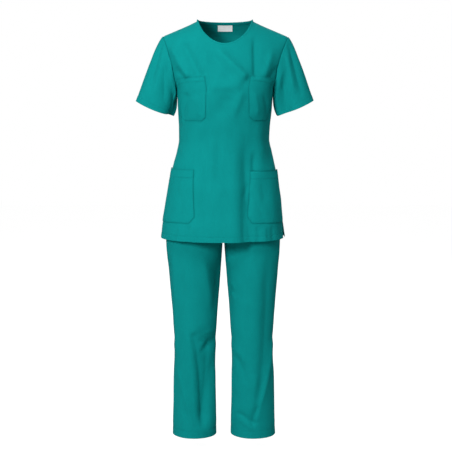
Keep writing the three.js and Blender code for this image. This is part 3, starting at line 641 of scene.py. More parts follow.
def sleeve_way(side, turn, runs):
    over = math.cos(turn)
    round_ = math.sin(turn)
    weights = {"over": max(over, 0) ** 2, "side": round_ ** 2, "under": min(over, 0) ** 2}
    way = Vector()
    for place, weight in weights.items():
        run = runs[place]
        front = -sign(round_) * run.front
        way += weight * Vector((side * run.out, front, -run.down))
    return way


def sleeve_form(side, u, level):
    degrees = 180 * u
    turn = math.radians(degrees)
    start = armhole_point(side, degrees)
    hem = sleeve_hem_point(side, turn)
    length = (hem - start).length
    leave = sleeve_way(side, turn, SLEEVE_LEAVE) * length
    arrive = sleeve_way(side, turn, SLEEVE_ARRIVE) * length
    t = level
    point = start.lerp(hem, t * t * (3 - 2 * t))
    return point + leave * t * (1 - t) ** 2 + arrive * t * t * (t - 1)


def sleeve_fold_lift(side, u, level):
    lift = 0.0
    for fold in SLEEVE_FOLDS[side]:
        along = (level - fold.start) / (fold.end - fold.start)
        if not 0 < along < 1:
            continue
        aside = abs(180 * u - mix(fold.turn0, fold.turn1, along)) / fold.width
        fade = ease(along / fold.fade) * ease((1 - along) / fold.fade)
        lift += fold.lift * fade * math.exp(-(aside ** fold.crisp))
    return lift


# Trousers
def leg_section(side, z):
    name = "left" if side > 0 else "right"
    out = TROUSERS.read(name + "_out", z)
    if z < CROTCH:
        half = abs(out - TROUSERS.read(name + "_in", z)) / 2
        return out - side * half, half, -90
    t = clamp((z - CROTCH) / (SEAT_TOP - CROTCH), 0, 1)
    share = 0.5 + 0.5 * clamp(t ** SEAT_CURVE * (1 + SEAT_CURVE * (1 - t)), 0, 1)
    half = share * abs(out - TROUSER_MIDDLE)
    start = -math.degrees(math.asin(clamp(1 / share - 1, 0, 1)))
    return out - side * half, half, start


def leg_form(side, face, u, z):
    """A panel of one leg, from the inseam or the middle (-1) to the side seam (1)."""
    centre, half, start = leg_section(side, z)
    turn = math.radians(mix(start, 90, (u + 1) / 2))
    across = math.sin(turn)
    facing = max(math.cos(turn), 0)
    x = centre + side * half * across
    depth = TROUSERS.read(face.depth, z) * facing
    below = ease((CROTCH - z) / LEG_CALM["under"])
    lift = fold_lift(face.leg_folds, x, z) * ease(facing / LEG_CALM["facing"])
    sideways = ease((abs(across) - TUNIC_CALM["side"]) / TUNIC_CALM["side_over"])
    if sideways > 0:
        lift += fold_lift(LEG_SIDE_FOLDS, face.sign * depth, z) * sideways
    lift *= below
    return Vector((x + side * lift * across, face.sign * (depth + lift * facing), z))


# Seams pressed into the cloth
def groove(distance, half=SEAM_HALF):
    return hump(distance / half)


def hem_relief(above, rise):
    """Hem stitching pressed in, with the turned-up hem a little proud below it."""
    step = HEM_STEP * ease((rise - above) / 2 + 0.5)
    return step - HEM_GROOVE * groove(above - rise, 1.8)


def ripple(point, size, near, reach):
    """Small puckers across a seam, strongest on it."""
    if near > 3 * reach:
        return 0
    return noise.noise(point / size) * math.exp(-near / reach)


def painted_shade_at(*lines):
    """Painted shade on the strongest of some seam, hem or pocket lines, each given by its distance
    and its own strength.
    """
    return max(strength * groove(distance, PAINTED_SHADE_HALF) for distance, strength in lines)


# Each relief gives the lift, the distance to the nearest seam, and the painted shade along seams
# and hems
def tunic_relief(face, u, level, point):
    side = (1 - abs(u)) * SIDE_RUN
    lift = -SEAM_DEPTH * groove(side) + 0.45 * ripple(point, 9, side, 9)
    if level <= 0:
        hem = point.z - TUNIC_HEM
        lift += waves(point) + hem_relief(hem, TUNIC_HEM_RISE)
        lift += 0.5 * ripple(Vector((point.x, point.y, 0)), 11, hem, 16)
        sewn = abs(hem - TUNIC_HEM_RISE)
        return lift, min(side, sewn), painted_shade_at((side, SEAM_PAINTED_SHADE), (sewn, HEM_PAINTED_SHADE))
    top = (1 - level) * HIGH_RUN
    near = min(side, top)
    lift += waves(point) * mix(1, ease(near / SEAM_CALM), ease(level / ARMPIT_BLEND))
    on_shoulder = ease((abs(u) - NECK_SHARE) / 0.04 + 0.5)
    lift -= SEAM_DEPTH * groove(top) * on_shoulder
    return lift, near, painted_shade_at((side, ARMHOLE_PAINTED_SHADE), (top, SEAM_PAINTED_SHADE * on_shoulder))


def sleeve_relief(side, u, level, point):
    down = level * SLEEVE_LENGTH
    under = (1 - abs(u)) * SLEEVE_GIRTH / 2
    hem = (1 - level) * SLEEVE_LENGTH
    lift = sleeve_fold_lift(side, u, level) + waves(point) * ease(down / SEAM_CALM)
    lift -= SEAM_DEPTH * (1.4 * groove(down) + groove(under))
    lift += hem_relief(hem, SLEEVE_HEM_RISE)
    lift += 0.6 * ripple(point, 10, down, 10)
    sewn = abs(hem - SLEEVE_HEM_RISE)
    line = painted_shade_at((down, ARMHOLE_PAINTED_SHADE), (under, SEAM_PAINTED_SHADE), (sewn, HEM_PAINTED_SHADE))
    return lift, min(down, under, sewn), line


def leg_relief(u, z, point):
    side = (1 - abs(u)) * LEG_RUN / 2
    hem = z - TROUSER_HEM
    lift = waves(point) * ease((CROTCH + 20 - z) / 60) - SEAM_DEPTH * groove(side)
    lift += hem_relief(hem, TROUSER_HEM_RISE)
    lift += 0.7 * ripple(Vector((point.x, point.y, 0)), 11, hem, 22)
    lift += 0.35 * ripple(point, 9, side, 7)
    sewn = abs(hem - TROUSER_HEM_RISE)
    return lift, min(side, sewn), painted_shade_at((side, SEAM_PAINTED_SHADE), (sewn, HEM_PAINTED_SHADE))


# Making pieces
TREES = {}


def piece_from(bm, name, materials, wall=None):
    """Finishes a mesh in millimetres as a piece of the object."""
    for edge in bm.edges:
        edge.smooth = not edge.is_boundary
    for face in bm.faces:
        face.smooth = True
    bmesh.ops.scale(bm, vec=(MM, MM, MM), verts=bm.verts)
    mesh = bpy.data.meshes.new(name)
    bm.to_mesh(mesh)
    bm.free()
    for material in materials:
        mesh.materials.append(material)
    piece = bpy.data.objects.new(name, mesh)
    bpy.context.scene.collection.objects.link(piece)
    if wall:
        solidify = piece.modifiers.new("Wall", "SOLIDIFY")
        solidify.thickness = wall * MM
        solidify.offset = -1
        solidify.use_quality_normals = True
    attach(piece, BODY)
    return piece


def flat_grid(across, up):
    """A flat sheet with a corner for each pair of values, and its cloth's own coordinates."""
    bm = bmesh.new()
    columns = len(across) - 1
    rows = len(up) - 1
    bmesh.ops.create_grid(bm, x_segments=columns, y_segments=rows, size=1)
    for corner in bm.verts:
        column = round((corner.co.x + 1) / 2 * columns)
        row = round((corner.co.y + 1) / 2 * rows)
        corner.co = (across[column], up[row], 0)
    return bm


def cloth_piece(name, bm, form, relief, weave, flip, material, wall=CLOTH_WALL, closed=False):
    """Moves a flat sheet to its worn form, then lifts it along its own way out by its relief."""
    uv = bm.loops.layers.uv.new("Cloth")
    near_seam = bm.verts.layers.float.new("near_seam")
    # This layer holds painted shade: how far the base colour darkens along seams, hems and pocket
    # edges
    on_line = bm.verts.layers.float.new("on_line")
    for face in bm.faces:
        for loop in face.loops:
            loop[uv].uv = weave(*loop.vert.co.xy)
    flat = {corner: tuple(corner.co.xy) for corner in bm.verts}
    for corner in bm.verts:
        corner.co = form(*flat[corner])
    if flip:
        bmesh.ops.reverse_faces(bm, faces=bm.faces)
    if closed:
        bmesh.ops.remove_doubles(bm, verts=bm.verts, dist=0.01)
    bm.normal_update()
    lifts = {}
    for corner in bm.verts:
        lift, near, line = relief(*flat[corner], corner.co)
        lifts[corner] = lift
        corner[near_seam] = math.exp(-near / SEAM_REACH)
        corner[on_line] = line
    for corner, lift in lifts.items():
        corner.co += corner.normal * lift
    bm.normal_update()
    TREES[name] = BVHTree.FromBMesh(bm)
    return piece_from(bm, name, [material], wall)


def sew(bm, tree, line, stitch, radius, gap=0.7):
    """A row of stitches along a line of places, each lying on the cloth below it."""
    left = 0.0
    for start, end in zip(line, line[1:]):
        run = end - start
        length = run.length
        if length < 1e-6:
            continue
        along = left
        while along < length:
            where, out, _, _ = tree.find_nearest(start + run * (along / length))
            lie = (run - out * run.dot(out)).normalized()
            across = out.cross(lie)
            turn = Matrix((lie, across, out)).transposed().to_4x4()
            size = Matrix.Diagonal(((stitch - gap) / 2, radius, radius * 0.8, 1))
            place = Matrix.Translation(where + out * radius * 0.35) @ turn @ size
            bmesh.ops.create_icosphere(bm, subdivisions=1, radius=1, matrix=place)
            along += stitch
        left = along - length


# Materials
def link(tree, start, end):
    tree.links.new(start, end)


def new_node(tree, kind, **settings):
    node = tree.nodes.new(kind)
    for name, value in settings.items():
        setattr(node, name, value)
    return node


def math_node(tree, operation, first, second=None):
    node = new_node(tree, "ShaderNodeMath", operation=operation)
    for socket, value in zip(node.inputs, (first, second)):
        if value is None:
            continue
        if isinstance(value, (int, float)):
            socket.default_value = value
        else:
            link(tree, value, socket)
    return node.outputs[0]


def group(name, inputs, outputs):
    """An empty shader group with named sockets, and its input and output nodes."""
    tree = bpy.data.node_groups.new(name, "ShaderNodeTree")
    for label, kind in inputs:
        tree.interface.new_socket(label, in_out="INPUT", socket_type=kind)
    for label, kind in outputs:
        tree.interface.new_socket(label, in_out="OUTPUT", socket_type=kind)
    entry = new_node(tree, "NodeGroupInput")
    leave = new_node(tree, "NodeGroupOutput")
    return tree, entry, leave


def noise_of(tree, where, scale, detail, stretch=(1, 1, 1)):
    mapping = new_node(tree, "ShaderNodeMapping")
    mapping.inputs["Scale"].default_value = stretch
    link(tree, where, mapping.inputs["Vector"])
    texture = new_node(tree, "ShaderNodeTexNoise")
    texture.inputs["Scale"].default_value = scale
    texture.inputs["Detail"].default_value = detail
    link(tree, mapping.outputs[0], texture.inputs["Vector"])
    return texture.outputs["Fac"]


def weave_group():
    """Fine diagonal ribs of the weave, with the threads that cross them."""
    tree, entry, leave = group(
        "Weave",
        [("Cloth", "NodeSocketVector"), ("Ribs", "NodeSocketFloat")],
        [("Height", "NodeSocketFloat")],
    )
    parts = new_node(tree, "ShaderNodeSeparateXYZ")
    link(tree, entry.outputs["Cloth"], parts.inputs[0])
    total = math_node(tree, "ADD", parts.outputs[0], parts.outputs[1])
    apart = math_node(tree, "SUBTRACT", parts.outputs[0], parts.outputs[1])
    turns = math_node(tree, "MULTIPLY", entry.outputs["Ribs"], 2 * math.pi)
    ribs = math_node(tree, "SINE", math_node(tree, "MULTIPLY", total, turns))
    cross_turns = math_node(tree, "MULTIPLY", turns, 2)
    crossing = math_node(tree, "SINE", math_node(tree, "MULTIPLY", apart, cross_turns))
    small = math_node(tree, "MULTIPLY", crossing, 0.5)
    link(tree, math_node(tree, "ADD", ribs, small), leave.inputs["Height"])
    return tree


def unevenness_group():
    """Slubs and cloudy patches in the cloth, from 0 to 1."""
    tree, entry, leave = group(
        "Unevenness",
        [("Where", "NodeSocketVector")],
        [("Fine", "NodeSocketFloat"), ("Broad", "NodeSocketFloat")],
    )
    where = entry.outputs["Where"]
    link(tree, noise_of(tree, where, 320, 3), leave.inputs["Fine"])
    link(tree, noise_of(tree, where, 26, 4, (1, 1, 0.6)), leave.inputs["Broad"])
    return tree


def pucker_group():
    """Tiny gathers beside the seams, where the sewing has drawn the cloth up."""
    tree, entry, leave = group(
        "Pucker",
        [("Where", "NodeSocketVector"), ("Near seam", "NodeSocketFloat")],
        [("Height", "NodeSocketFloat")],
    )
    gathers = noise_of(tree, entry.outputs["Where"], 190, 2)
    link(tree, math_node(tree, "MULTIPLY", gathers, entry.outputs["Near seam"]), leave.inputs[0])
    return tree


WEAVE = weave_group()
UNEVENNESS = unevenness_group()
PUCKER = pucker_group()


def placed(tree, shared):
    return new_node(tree, "ShaderNodeGroup", node_tree=shared)


def cloth_material(
    name, dark, light, ribs, rib_height, roughness, specular, sheen, sheen_tint, glow=0
):
    material = bpy.data.materials.new(name)
    material.use_nodes = True
    tree = material.node_tree
    surface = tree.nodes["Principled BSDF"]
    surface.inputs["Specular IOR Level"].default_value = specular
    surface.inputs["Specular Tint"].default_value = (*sheen_tint, 1)
    surface.inputs["Sheen Weight"].default_value = sheen
    surface.inputs["Sheen Roughness"].default_value = 0.45
    surface.inputs["Sheen Tint"].default_value = (*sheen_tint, 1)
    # glow is painted light: an emission in the light colour with no lamp behind it, used only by
    # the label
    surface.inputs["Emission Color"].default_value = (*light, 1)
    surface.inputs["Emission Strength"].default_value = glow
    places = new_node(tree, "ShaderNodeTexCoord")
    cloth = new_node(tree, "ShaderNodeUVMap", uv_map="Cloth")
    near = new_node(tree, "ShaderNodeAttribute", attribute_name="near_seam")

    uneven = placed(tree, UNEVENNESS)
    link(tree, places.outputs["Object"], uneven.inputs["Where"])
    shade = math_node(tree, "ADD", uneven.outputs["Fine"], uneven.outputs["Broad"])
    colour = new_node(tree, "ShaderNodeMix", data_type="RGBA")
    colour.inputs["A"].default_value = (*dark, 1)
    colour.inputs["B"].default_value = (*light, 1)
    spread = new_node(tree, "ShaderNodeMapRange")
    spread.inputs["From Min"].default_value = 0.7
    spread.inputs["From Max"].default_value = 1.3
    link(tree, shade, spread.inputs["Value"])
    link(tree, spread.outputs[0], colour.inputs["Factor"])
    # Painted shade: the base colour darkens toward LINE_SHADE times the dark teal along seams, hems
    # and pocket edges, standing in for the shade in their grooves
    line = new_node(tree, "ShaderNodeAttribute", attribute_name="on_line")
    painted_shade_mix = new_node(tree, "ShaderNodeMix", data_type="RGBA")
    painted_shade_mix.inputs["B"].default_value = (*(LINE_SHADE * value for value in dark), 1)
    link(tree, math_node(tree, "MULTIPLY", line.outputs["Fac"], 0.8), painted_shade_mix.inputs["Factor"])
    link(tree, colour.outputs["Result"], painted_shade_mix.inputs["A"])
    link(tree, painted_shade_mix.outputs["Result"], surface.inputs["Base Color"])

    gloss = new_node(tree, "ShaderNodeMapRange")
    gloss.inputs["To Min"].default_value = roughness - 0.06
    gloss.inputs["To Max"].default_value = roughness + 0.06
    link(tree, uneven.outputs["Fine"], gloss.inputs["Value"])
    link(tree, gloss.outputs[0], surface.inputs["Roughness"])

    weave = placed(tree, WEAVE)
    weave.inputs["Ribs"].default_value = ribs
    link(tree, cloth.outputs["UV"], weave.inputs["Cloth"])
    pucker = placed(tree, PUCKER)
    link(tree, places.outputs["Object"], pucker.inputs["Where"])
    link(tree, near.outputs["Fac"], pucker.inputs["Near seam"])
    height = math_node(tree, "MULTIPLY", weave.outputs["Height"], rib_height)
    height = math_node(tree, "ADD", height, math_node(tree, "MULTIPLY", pucker.outputs[0], 0.5))
    slubs = math_node(tree, "MULTIPLY", uneven.outputs["Fine"], 0.12)
    height = math_node(tree, "ADD", height, slubs)
    bump = new_node(tree, "ShaderNodeBump")
    bump.inputs["Distance"].default_value = MM
    link(tree, height, bump.inputs["Height"])
    link(tree, bump.outputs[0], surface.inputs["Normal"])
    return material


TEAL_DARK = (0.0040, 0.272, 0.266)
TEAL_LIGHT = (0.0046, 0.300, 0.293)
# Share of the dark teal that the painted seam shade mixes toward
LINE_SHADE = 0.5
TEAL_SHEEN = (0.02, 0.75, 0.74)
THREAD_DARK = (0.0040, 0.235, 0.230)
THREAD_LIGHT = (0.0052, 0.290, 0.284)
WHITE_DARK = (0.84, 0.87, 0.88)
WHITE_LIGHT = (0.92, 0.94, 0.95)
# Painted light: the label glows in its light white, brighter than its lighting makes it
LABEL_PAINTED_GLOW = 0.19
TEAL = cloth_material("Teal twill", TEAL_DARK, TEAL_LIGHT, 900, 0.05, 0.82, 0.08, 0.12, TEAL_SHEEN)
THREAD = cloth_material(
    "Teal thread", THREAD_DARK, THREAD_LIGHT, 1500, 0.03, 0.6, 0.15, 0.05, TEAL_SHEEN
)
LABEL_WHITE = cloth_material(
    "White label weave", WHITE_DARK, WHITE_LIGHT, 1800, 0.03, 0.6, 0.3, 0.1, (1, 1, 1), LABEL_PAINTED_GLOW
)

# Camera
camera_data = bpy.data.cameras.new("Camera")
camera_data.lens = CAMERA_LENS
camera_data.sensor_width = 36
camera = bpy.data.objects.new("Camera", camera_data)
tilt = math.radians(CAMERA_ELEVATION)
back_off = Vector((0, -math.cos(tilt), math.sin(tilt))) * CAMERA_DISTANCE
camera.location = (Vector(CAMERA_AIM) + back_off) * MM
camera.rotation_euler = (math.radians(90) - tilt, 0, 0)
bpy.context.scene.collection.objects.link(camera)
bpy.context.scene.camera = camera

# Grid steps
BODY_STEP = 4.2
FINE_STEP = 2
FINE_HEM = 34


def hem_levels(hem, top, step=BODY_STEP):
    """Heights from a hem up, closer together over the hem and its stitching."""
    fine = spaced(hem, hem + FINE_HEM, FINE_STEP)
    return fine + spaced(hem + FINE_HEM, top, step)[1:]


# Tunic panels
def tunic_panel(name, face):
    half = 64
    across = [k / half for k in range(-half, half + 1)]
    low = [z - ARMPIT for z in hem_levels(TUNIC_HEM, ARMPIT)]
    high = [1 - (1 - k / 44) ** HIGH_CROWDING for k in range(1, 45)]
    bm = flat_grid(across, low + high)
    return cloth_piece(
        name,
        bm,
        form=lambda u, level: tunic_form(face, u, level),
        relief=lambda u, level, point: tunic_relief(face, u, level, point),
        weave=lambda u, level: (u * SIDE_RUN * MM, (level if level < 0 else level * HIGH_RUN) * MM),
        flip=face is BACK,
        material=TEAL,
    )


tunic = {name: tunic_panel("cloth_tunic_" + name, face) for name, face in FACES.items()}
for name, piece in tunic.items():
    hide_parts("tunic_" + name)


# Sleeves
def sleeve(name, side):
    around = [k / 90 for k in range(-90, 91)]
    start = spaced(0, 0.88, 0.018)
    fine = spaced(0.88, 1, 0.009)[1:]
    bm = flat_grid(around, start + fine)
    piece = cloth_piece(
        "cloth_sleeve_" + name,
        bm,
        form=lambda u, level: sleeve_form(side, u, level),
        relief=lambda u, level, point: sleeve_relief(side, u, level, point),
        weave=lambda u, level: (u * SLEEVE_GIRTH / 2 * MM, level * SLEEVE_LENGTH * MM),
        flip=side < 0,
        material=TEAL,
        closed=True,
    )
    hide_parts("sleeve_" + name)
    return piece


sleeves = {name: sleeve(name, side) for name, side in SIDES.items()}


# Trouser panels
def trouser_panel(side_name, side, face_name, face):
    across = spaced(-1, 1, 2 / 44)
    bm = flat_grid(across, hem_levels(TROUSER_HEM, WAIST_SEAM - 0.4, 5))
    piece = cloth_piece(
        f"cloth_trouser_{face_name}_{side_name}",
        bm,
        form=lambda u, z: leg_form(side, face, u, z),
        relief=leg_relief,
        weave=lambda u, z: (u * LEG_RUN / 2 * MM, z * MM),
        flip=side * face.sign > 0,
        material=TEAL,
    )
    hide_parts(f"trouser_{face_name}_{side_name}")
    return piece


trousers = [
    trouser_panel(side_name, side, face_name, face)
    for side_name, side in SIDES.items()
    for face_name, face in FACES.items()
]


# Waistband: a ring with small gathers drawn up by its elastic
def waistband_form(share, z):
    right = TROUSERS.read("right_out", z)
    left = TROUSERS.read("left_out", z)
    turn = 2 * math.pi * share
    facing = -math.cos(turn)
    depth = TROUSERS.read("front" if facing < 0 else "back", z) + WAISTBAND_OUT
    half = (left - right) / 2 + WAISTBAND_OUT
    return Vector(((left + right) / 2 - half * math.sin(turn), depth * facing, z))


def waistband_relief(share, z, point):
    edge = min(z - WAIST_SEAM, WAIST_TOP - z)
    drawn = ease(edge / 6)
    wander = noise.noise(Vector((point.x / 30, point.y / 30, 0)))
    lift = 1.1 * math.sin(2 * math.pi * GATHERS * share + 3 * wander) * drawn
    for row in WAISTBAND_ROWS:
        lift -= 0.7 * groove(z - row, 1.5)
    return lift, edge, 0


def waistband():
    bm = flat_grid(spaced(0, 1, 1 / 420), spaced(WAIST_SEAM, WAIST_TOP, 2))
    piece = cloth_piece(
        "cloth_waistband",
        bm,
        form=waistband_form,
        relief=waistband_relief,
        weave=lambda share, z: (share * WAISTBAND_GIRTH * MM, z * MM),
        flip=True,
        material=TEAL,
        wall=WAISTBAND_WALL,
        closed=True,
    )
    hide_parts("waistband")
    return piece


# Patch pockets
def front_run(x, z):
    """Distance round the tunic front from its middle, for a place seen from the front."""
    right = TUNIC.read("right", z)
    left = TUNIC.read("left", z)
    across = clamp((2 * x - left - right) / (left - right), -1, 1)
    return SIDE_RUN * math.degrees(math.asin(across)) / 90


def outline_edges(corners):
    """Each edge of an outline: a place on it and its way out, going round in order."""
    middle = sum(corners, Vector((0, 0))) / len(corners)
    edges = []
    for here, after in zip(corners, corners[1:] + corners[:1]):
        run = (after - here).normalized()
        out = Vector((run.y, -run.x))
        if out.dot(here - middle) < 0:
            out.negate()
        edges.append((here, out))
    return edges


def drawn_in(edges, amounts):
    """Corners of an outline whose edges have each moved in by an amount."""
    lines = [(out, here.dot(out) - amount) for (here, out), amount in zip(edges, amounts)]
    corners = []
    for (a, reach_a), (b, reach_b) in zip(lines[-1:] + lines[:-1], lines):
        cross = a.x * b.y - a.y * b.x
        x = (reach_a * b.y - reach_b * a.y) / cross
        corners.append(Vector((x, (a.x * reach_b - b.x * reach_a) / cross)))
    return corners


def inside_by(edges, place):
    """How far a place lies inside the nearest of some edges."""
    return min((here - place).dot(out) for here, out in edges)


def pocket_form(pocket, edges, s, z):
    x = tunic_x(FRONT, s / SIDE_RUN, z)
    place = Vector((s, z))
    sewn = max(inside_by(edges[: pocket.sewn], place), 0)
    top = max(inside_by(edges[pocket.sewn :], place), 0)
    slack = 1 - math.exp(-sewn / 16)
    off = POCKET_OUT + POCKET_SLACK * slack + pocket.gape * slack * math.exp(-top / 24)
    return tunic_point(FRONT, x, z, off + waves(tunic_point(FRONT, x, z)))


def pocket_relief(pocket, edges, s, z, point):
    place = Vector((s, z))
    sewn = inside_by(edges[: pocket.stitched], place)
    top = inside_by(edges[pocket.sewn :], place)
    lift = 0.3 * ease((POCKET_STITCH - sewn) / 2 + 0.5) - 0.5 * groove(sewn - POCKET_STITCH, 1.4)
    lift += 0.3 * ease((pocket.hem - top) / 2 + 0.5) - 0.5 * groove(top - pocket.hem, 1.4)
    lift += 0.4 * ripple(point, 8, sewn, 8)
    hem = abs(top - pocket.hem)
    # Painted shade along the sewn edges and the hem, and a painted shadow in the opening under the
    # top edge
    line = painted_shade_at((sewn, POCKET_PAINTED_SHADE), (top / MOUTH_SHADOW_SPREAD, pocket.mouth), (hem, HEM_PAINTED_SHADE))
    return lift, min(abs(sewn - POCKET_STITCH), hem), line


def pocket_piece(pocket):
    corners = [Vector((front_run(x, z), z)) for x, z in pocket.outline]
    edges = outline_edges(corners)
    across = spaced(min(c.x for c in corners), max(c.x for c in corners), POCKET_STEP)
    up = spaced(min(c.y for c in corners), max(c.y for c in corners), POCKET_STEP)
    bm = flat_grid(across, up)
    for here, out in edges:
        bmesh.ops.bisect_plane(
            bm,
            geom=bm.verts[:] + bm.edges[:] + bm.faces[:],
            dist=1e-4,
            plane_co=here.to_3d(),
            plane_no=out.to_3d(),
            clear_outer=True,
        )
    piece = cloth_piece(
        "cloth_" + pocket.name,
        bm,
        form=lambda s, z: pocket_form(pocket, edges, s, z),
        relief=lambda s, z, point: pocket_relief(pocket, edges, s, z, point),
        weave=lambda s, z: (s * MM, z * MM),
        flip=False,
        material=TEAL,
    )
    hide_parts(pocket.name)
    return piece, edges


# Neck: a ring of places on the neck edge, with the ways out of the cloth and up past the edge
NeckCorner = namedtuple("NeckCorner", "at out up")


def neck_corner(face, u):
    low = max(u - NECK_PROBE, -NECK_SHARE)
    high = min(u + NECK_PROBE, NECK_SHARE)
    along = tunic_form(face, high, 1) - tunic_form(face, low, 1)
    at = tunic_form(face, u, 1)
    rising = at - tunic_form(face, u, 1 - NECK_PROBE)
    out = -face.sign * along.cross(rising).normalized()
    return NeckCorner(at, out, -face.sign * out.cross(along).normalized())


def neck_ring():
    half = NECK_CORNERS // 2
    turns = [mix(-NECK_SHARE, NECK_SHARE, k / half) for k in range(half)]
    ring = [neck_corner(FRONT, u) for u in turns] + [neck_corner(BACK, -u) for u in turns]
    for _ in range(NECK_SMOOTHING):
        ring = [
            NeckCorner(
                here.at,
                (before.out + here.out + after.out).normalized(),
                (before.up + here.up + after.up).normalized(),
            )
            for before, here, after in zip(ring[-1:] + ring[:-1], ring, ring[1:] + ring[:1])
        ]
    return ring


NECK_RING = neck_ring()


def neck_place(share, up, out):
    """Share 0 to 1 goes round the neck from the right side point, by the front."""
    where = share * NECK_CORNERS
    k = math.floor(where)
    here = NECK_RING[k % NECK_CORNERS]
    after = NECK_RING[(k + 1) % NECK_CORNERS]
    at, out_way, up_way = (a.lerp(b, where - k) for a, b in zip(here, after))
    return at + up_way * up + out_way * out


def binding_form(share, turn):
    """Section of the folded strip: a flattened round standing on the cut edge."""
    across = math.cos(2 * math.pi * turn)
    through = math.sin(2 * math.pi * turn)
    up = BINDING_MIDDLE + BINDING_HALF * sign(across) * abs(across) ** 0.6
    out = -CLOTH_WALL / 2 + BINDING_PLUMP * sign(through) * abs(through) ** 0.6
    return neck_place(share, up, out)


def binding_relief(share, turn, point):
    edge = abs(math.cos(2 * math.pi * turn) + 0.45) * BINDING_HALF
    return 0.2 * noise.noise(point / 7) - 0.25 * groove(edge, 0.7), edge, 0


def binding():
    bm = flat_grid(spaced(0, 1, 1 / NECK_CORNERS), spaced(0, 1, 1 / 24))
    piece = cloth_piece(
        "cloth_neck_binding",
        bm,
        form=binding_form,
        relief=binding_relief,
        weave=lambda share, turn: (share * NECK_GIRTH * MM, turn * 14 * MM),
        flip=False,
        material=TEAL,
        wall=None,
        closed=True,
    )
    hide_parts("neck_binding")
    return piece


def tape():
    bm = flat_grid(spaced(0.51, 0.99, 0.48 / 120), spaced(-TAPE_HALF, TAPE_HALF, 1.1))
    piece = cloth_piece(
        "cloth_back_neck_tape",
        bm,
        form=lambda share, up: neck_place(share, up, TAPE_OUT),
        relief=lambda share, up, point: (0.2 * noise.noise(point / 9), TAPE_HALF - abs(up), 0),
        weave=lambda share, up: (share * NECK_GIRTH * MM, up * MM),
        flip=True,
        material=TEAL,
        wall=TAPE_WALL,
    )
    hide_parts("back_neck_tape")
    return piece


def label():
    bm = flat_grid(spaced(-LABEL_HALF, LABEL_HALF, 1), spaced(-LABEL_HEIGHT, 0, 1))

    def form(x, down):
        free = ease(-down / LABEL_HEIGHT)
        off = LABEL_OUT - 0.9 * free * (x / LABEL_HALF) ** 2
        return tunic_point(BACK, LABEL_MIDDLE + x, LABEL_TOP + down, off)

    def relief(x, down, point):
        end = LABEL_HALF - abs(x)
        sewn = ease(1 + (down + LABEL_HEIGHT) / LABEL_HEIGHT)
        lift = 0.15 * noise.noise(point / 8) * sewn - 0.2 * groove(end - LABEL_STITCH, 0.6)
        return lift, end, 0

    piece = cloth_piece(
        "cloth_neck_label",
        bm,
        form=form,
        relief=relief,
        weave=lambda x, down: (x * MM, down * MM),
        flip=True,
        material=LABEL_WHITE,
        wall=LABEL_WALL,
    )
    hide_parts("neck_label")
    return piece


waist = waistband()
pockets = {pocket.name: (pocket, *pocket_piece(pocket)) for pocket in POCKETS}
neck_trim = [binding(), tape()]
neck_label = label()


# Stitching
def stitch_lines(name, lines, tree_of=None):
    bm = bmesh.new()
    for tree, line in lines:
        sew(bm, TREES[tree], line, STITCH, STITCH_RADIUS)
    bmesh.ops.recalc_face_normals(bm, faces=bm.faces)
    return piece_from(bm, name, [THREAD])


def tunic_hem_line(face):
    level = TUNIC_HEM + TUNIC_HEM_RISE - ARMPIT
    return [tunic_form(face, u, level) for u in spaced(-0.995, 0.995, 1 / 80)]


def vent_line(face, side):
    levels = spaced(TUNIC_HEM + TUNIC_HEM_RISE - ARMPIT, VENT_TOP - ARMPIT, 5)
    return [tunic_form(face, side * (1 - VENT_STITCH / SIDE_RUN), level) for level in levels]


def sleeve_hem_line(side):
    level = 1 - SLEEVE_HEM_RISE / SLEEVE_LENGTH
    return [sleeve_form(side, u, level) for u in spaced(-1, 1, 1 / 60)]


def trouser_hem_line(side, face):
    z = TROUSER_HEM + TROUSER_HEM_RISE
    return [leg_form(side, face, u, z) for u in spaced(-0.99, 0.99, 1 / 24)]


def pocket_lines(pocket, edges):
    sewn = drawn_in(edges, [POCKET_STITCH] * pocket.stitched + [0] * (len(edges) - pocket.stitched))
    hem = drawn_in(edges, [1] * pocket.sewn + [pocket.hem] * (len(edges) - pocket.sewn))
    paths = [sewn[: pocket.stitched + 1], hem[pocket.sewn :] + hem[:1]]
    for path in paths:
        line = []
        for start, end in zip(path, path[1:]):
            count = max(round((end - start).length / 4), 1)
            line += [start.lerp(end, k / count) for k in range(count + 1)]
        yield [pocket_form(pocket, edges, place.x, place.y) for place in line]


tunic_lines = [("cloth_tunic_" + name, tunic_hem_line(face)) for name, face in FACES.items()]
tunic_lines += [
    ("cloth_tunic_" + name, vent_line(face, side))
    for name, face in FACES.items()
    for side in SIDES.values()
]
sleeve_lines = [("cloth_sleeve_" + name, sleeve_hem_line(side)) for name, side in SIDES.items()]
trouser_lines = [
    (f"cloth_trouser_{face_name}_{side_name}", trouser_hem_line(side, face))
    for side_name, side in SIDES.items()
    for face_name, face in FACES.items()
]
pocket_rows = [
    ("cloth_" + pocket.name, line)
    for pocket, _, edges in pockets.values()
    for line in pocket_lines(pocket, edges)
]
neck_row = [
    (
        "cloth_neck_binding",
        [neck_place(k / 240, BINDING_STITCH, BINDING_PLUMP) for k in range(241)],
    )
]
label_rows = [
    (
        "cloth_neck_label",
        [
            tunic_point(BACK, LABEL_MIDDLE + end, LABEL_TOP + down, LABEL_OUT)
            for down in spaced(-LABEL_HEIGHT + 1, -1, 2)
        ],
    )
    for end in (LABEL_STITCH - LABEL_HALF, LABEL_HALF - LABEL_STITCH)
]
stitching = [
    stitch_lines("stitches_tunic", tunic_lines),
    stitch_lines("stitches_sleeves", sleeve_lines),
    stitch_lines("stitches_trousers", trouser_lines),
    stitch_lines("stitches_pockets", pocket_rows),
    stitch_lines("stitches_neck", neck_row + label_rows),
]

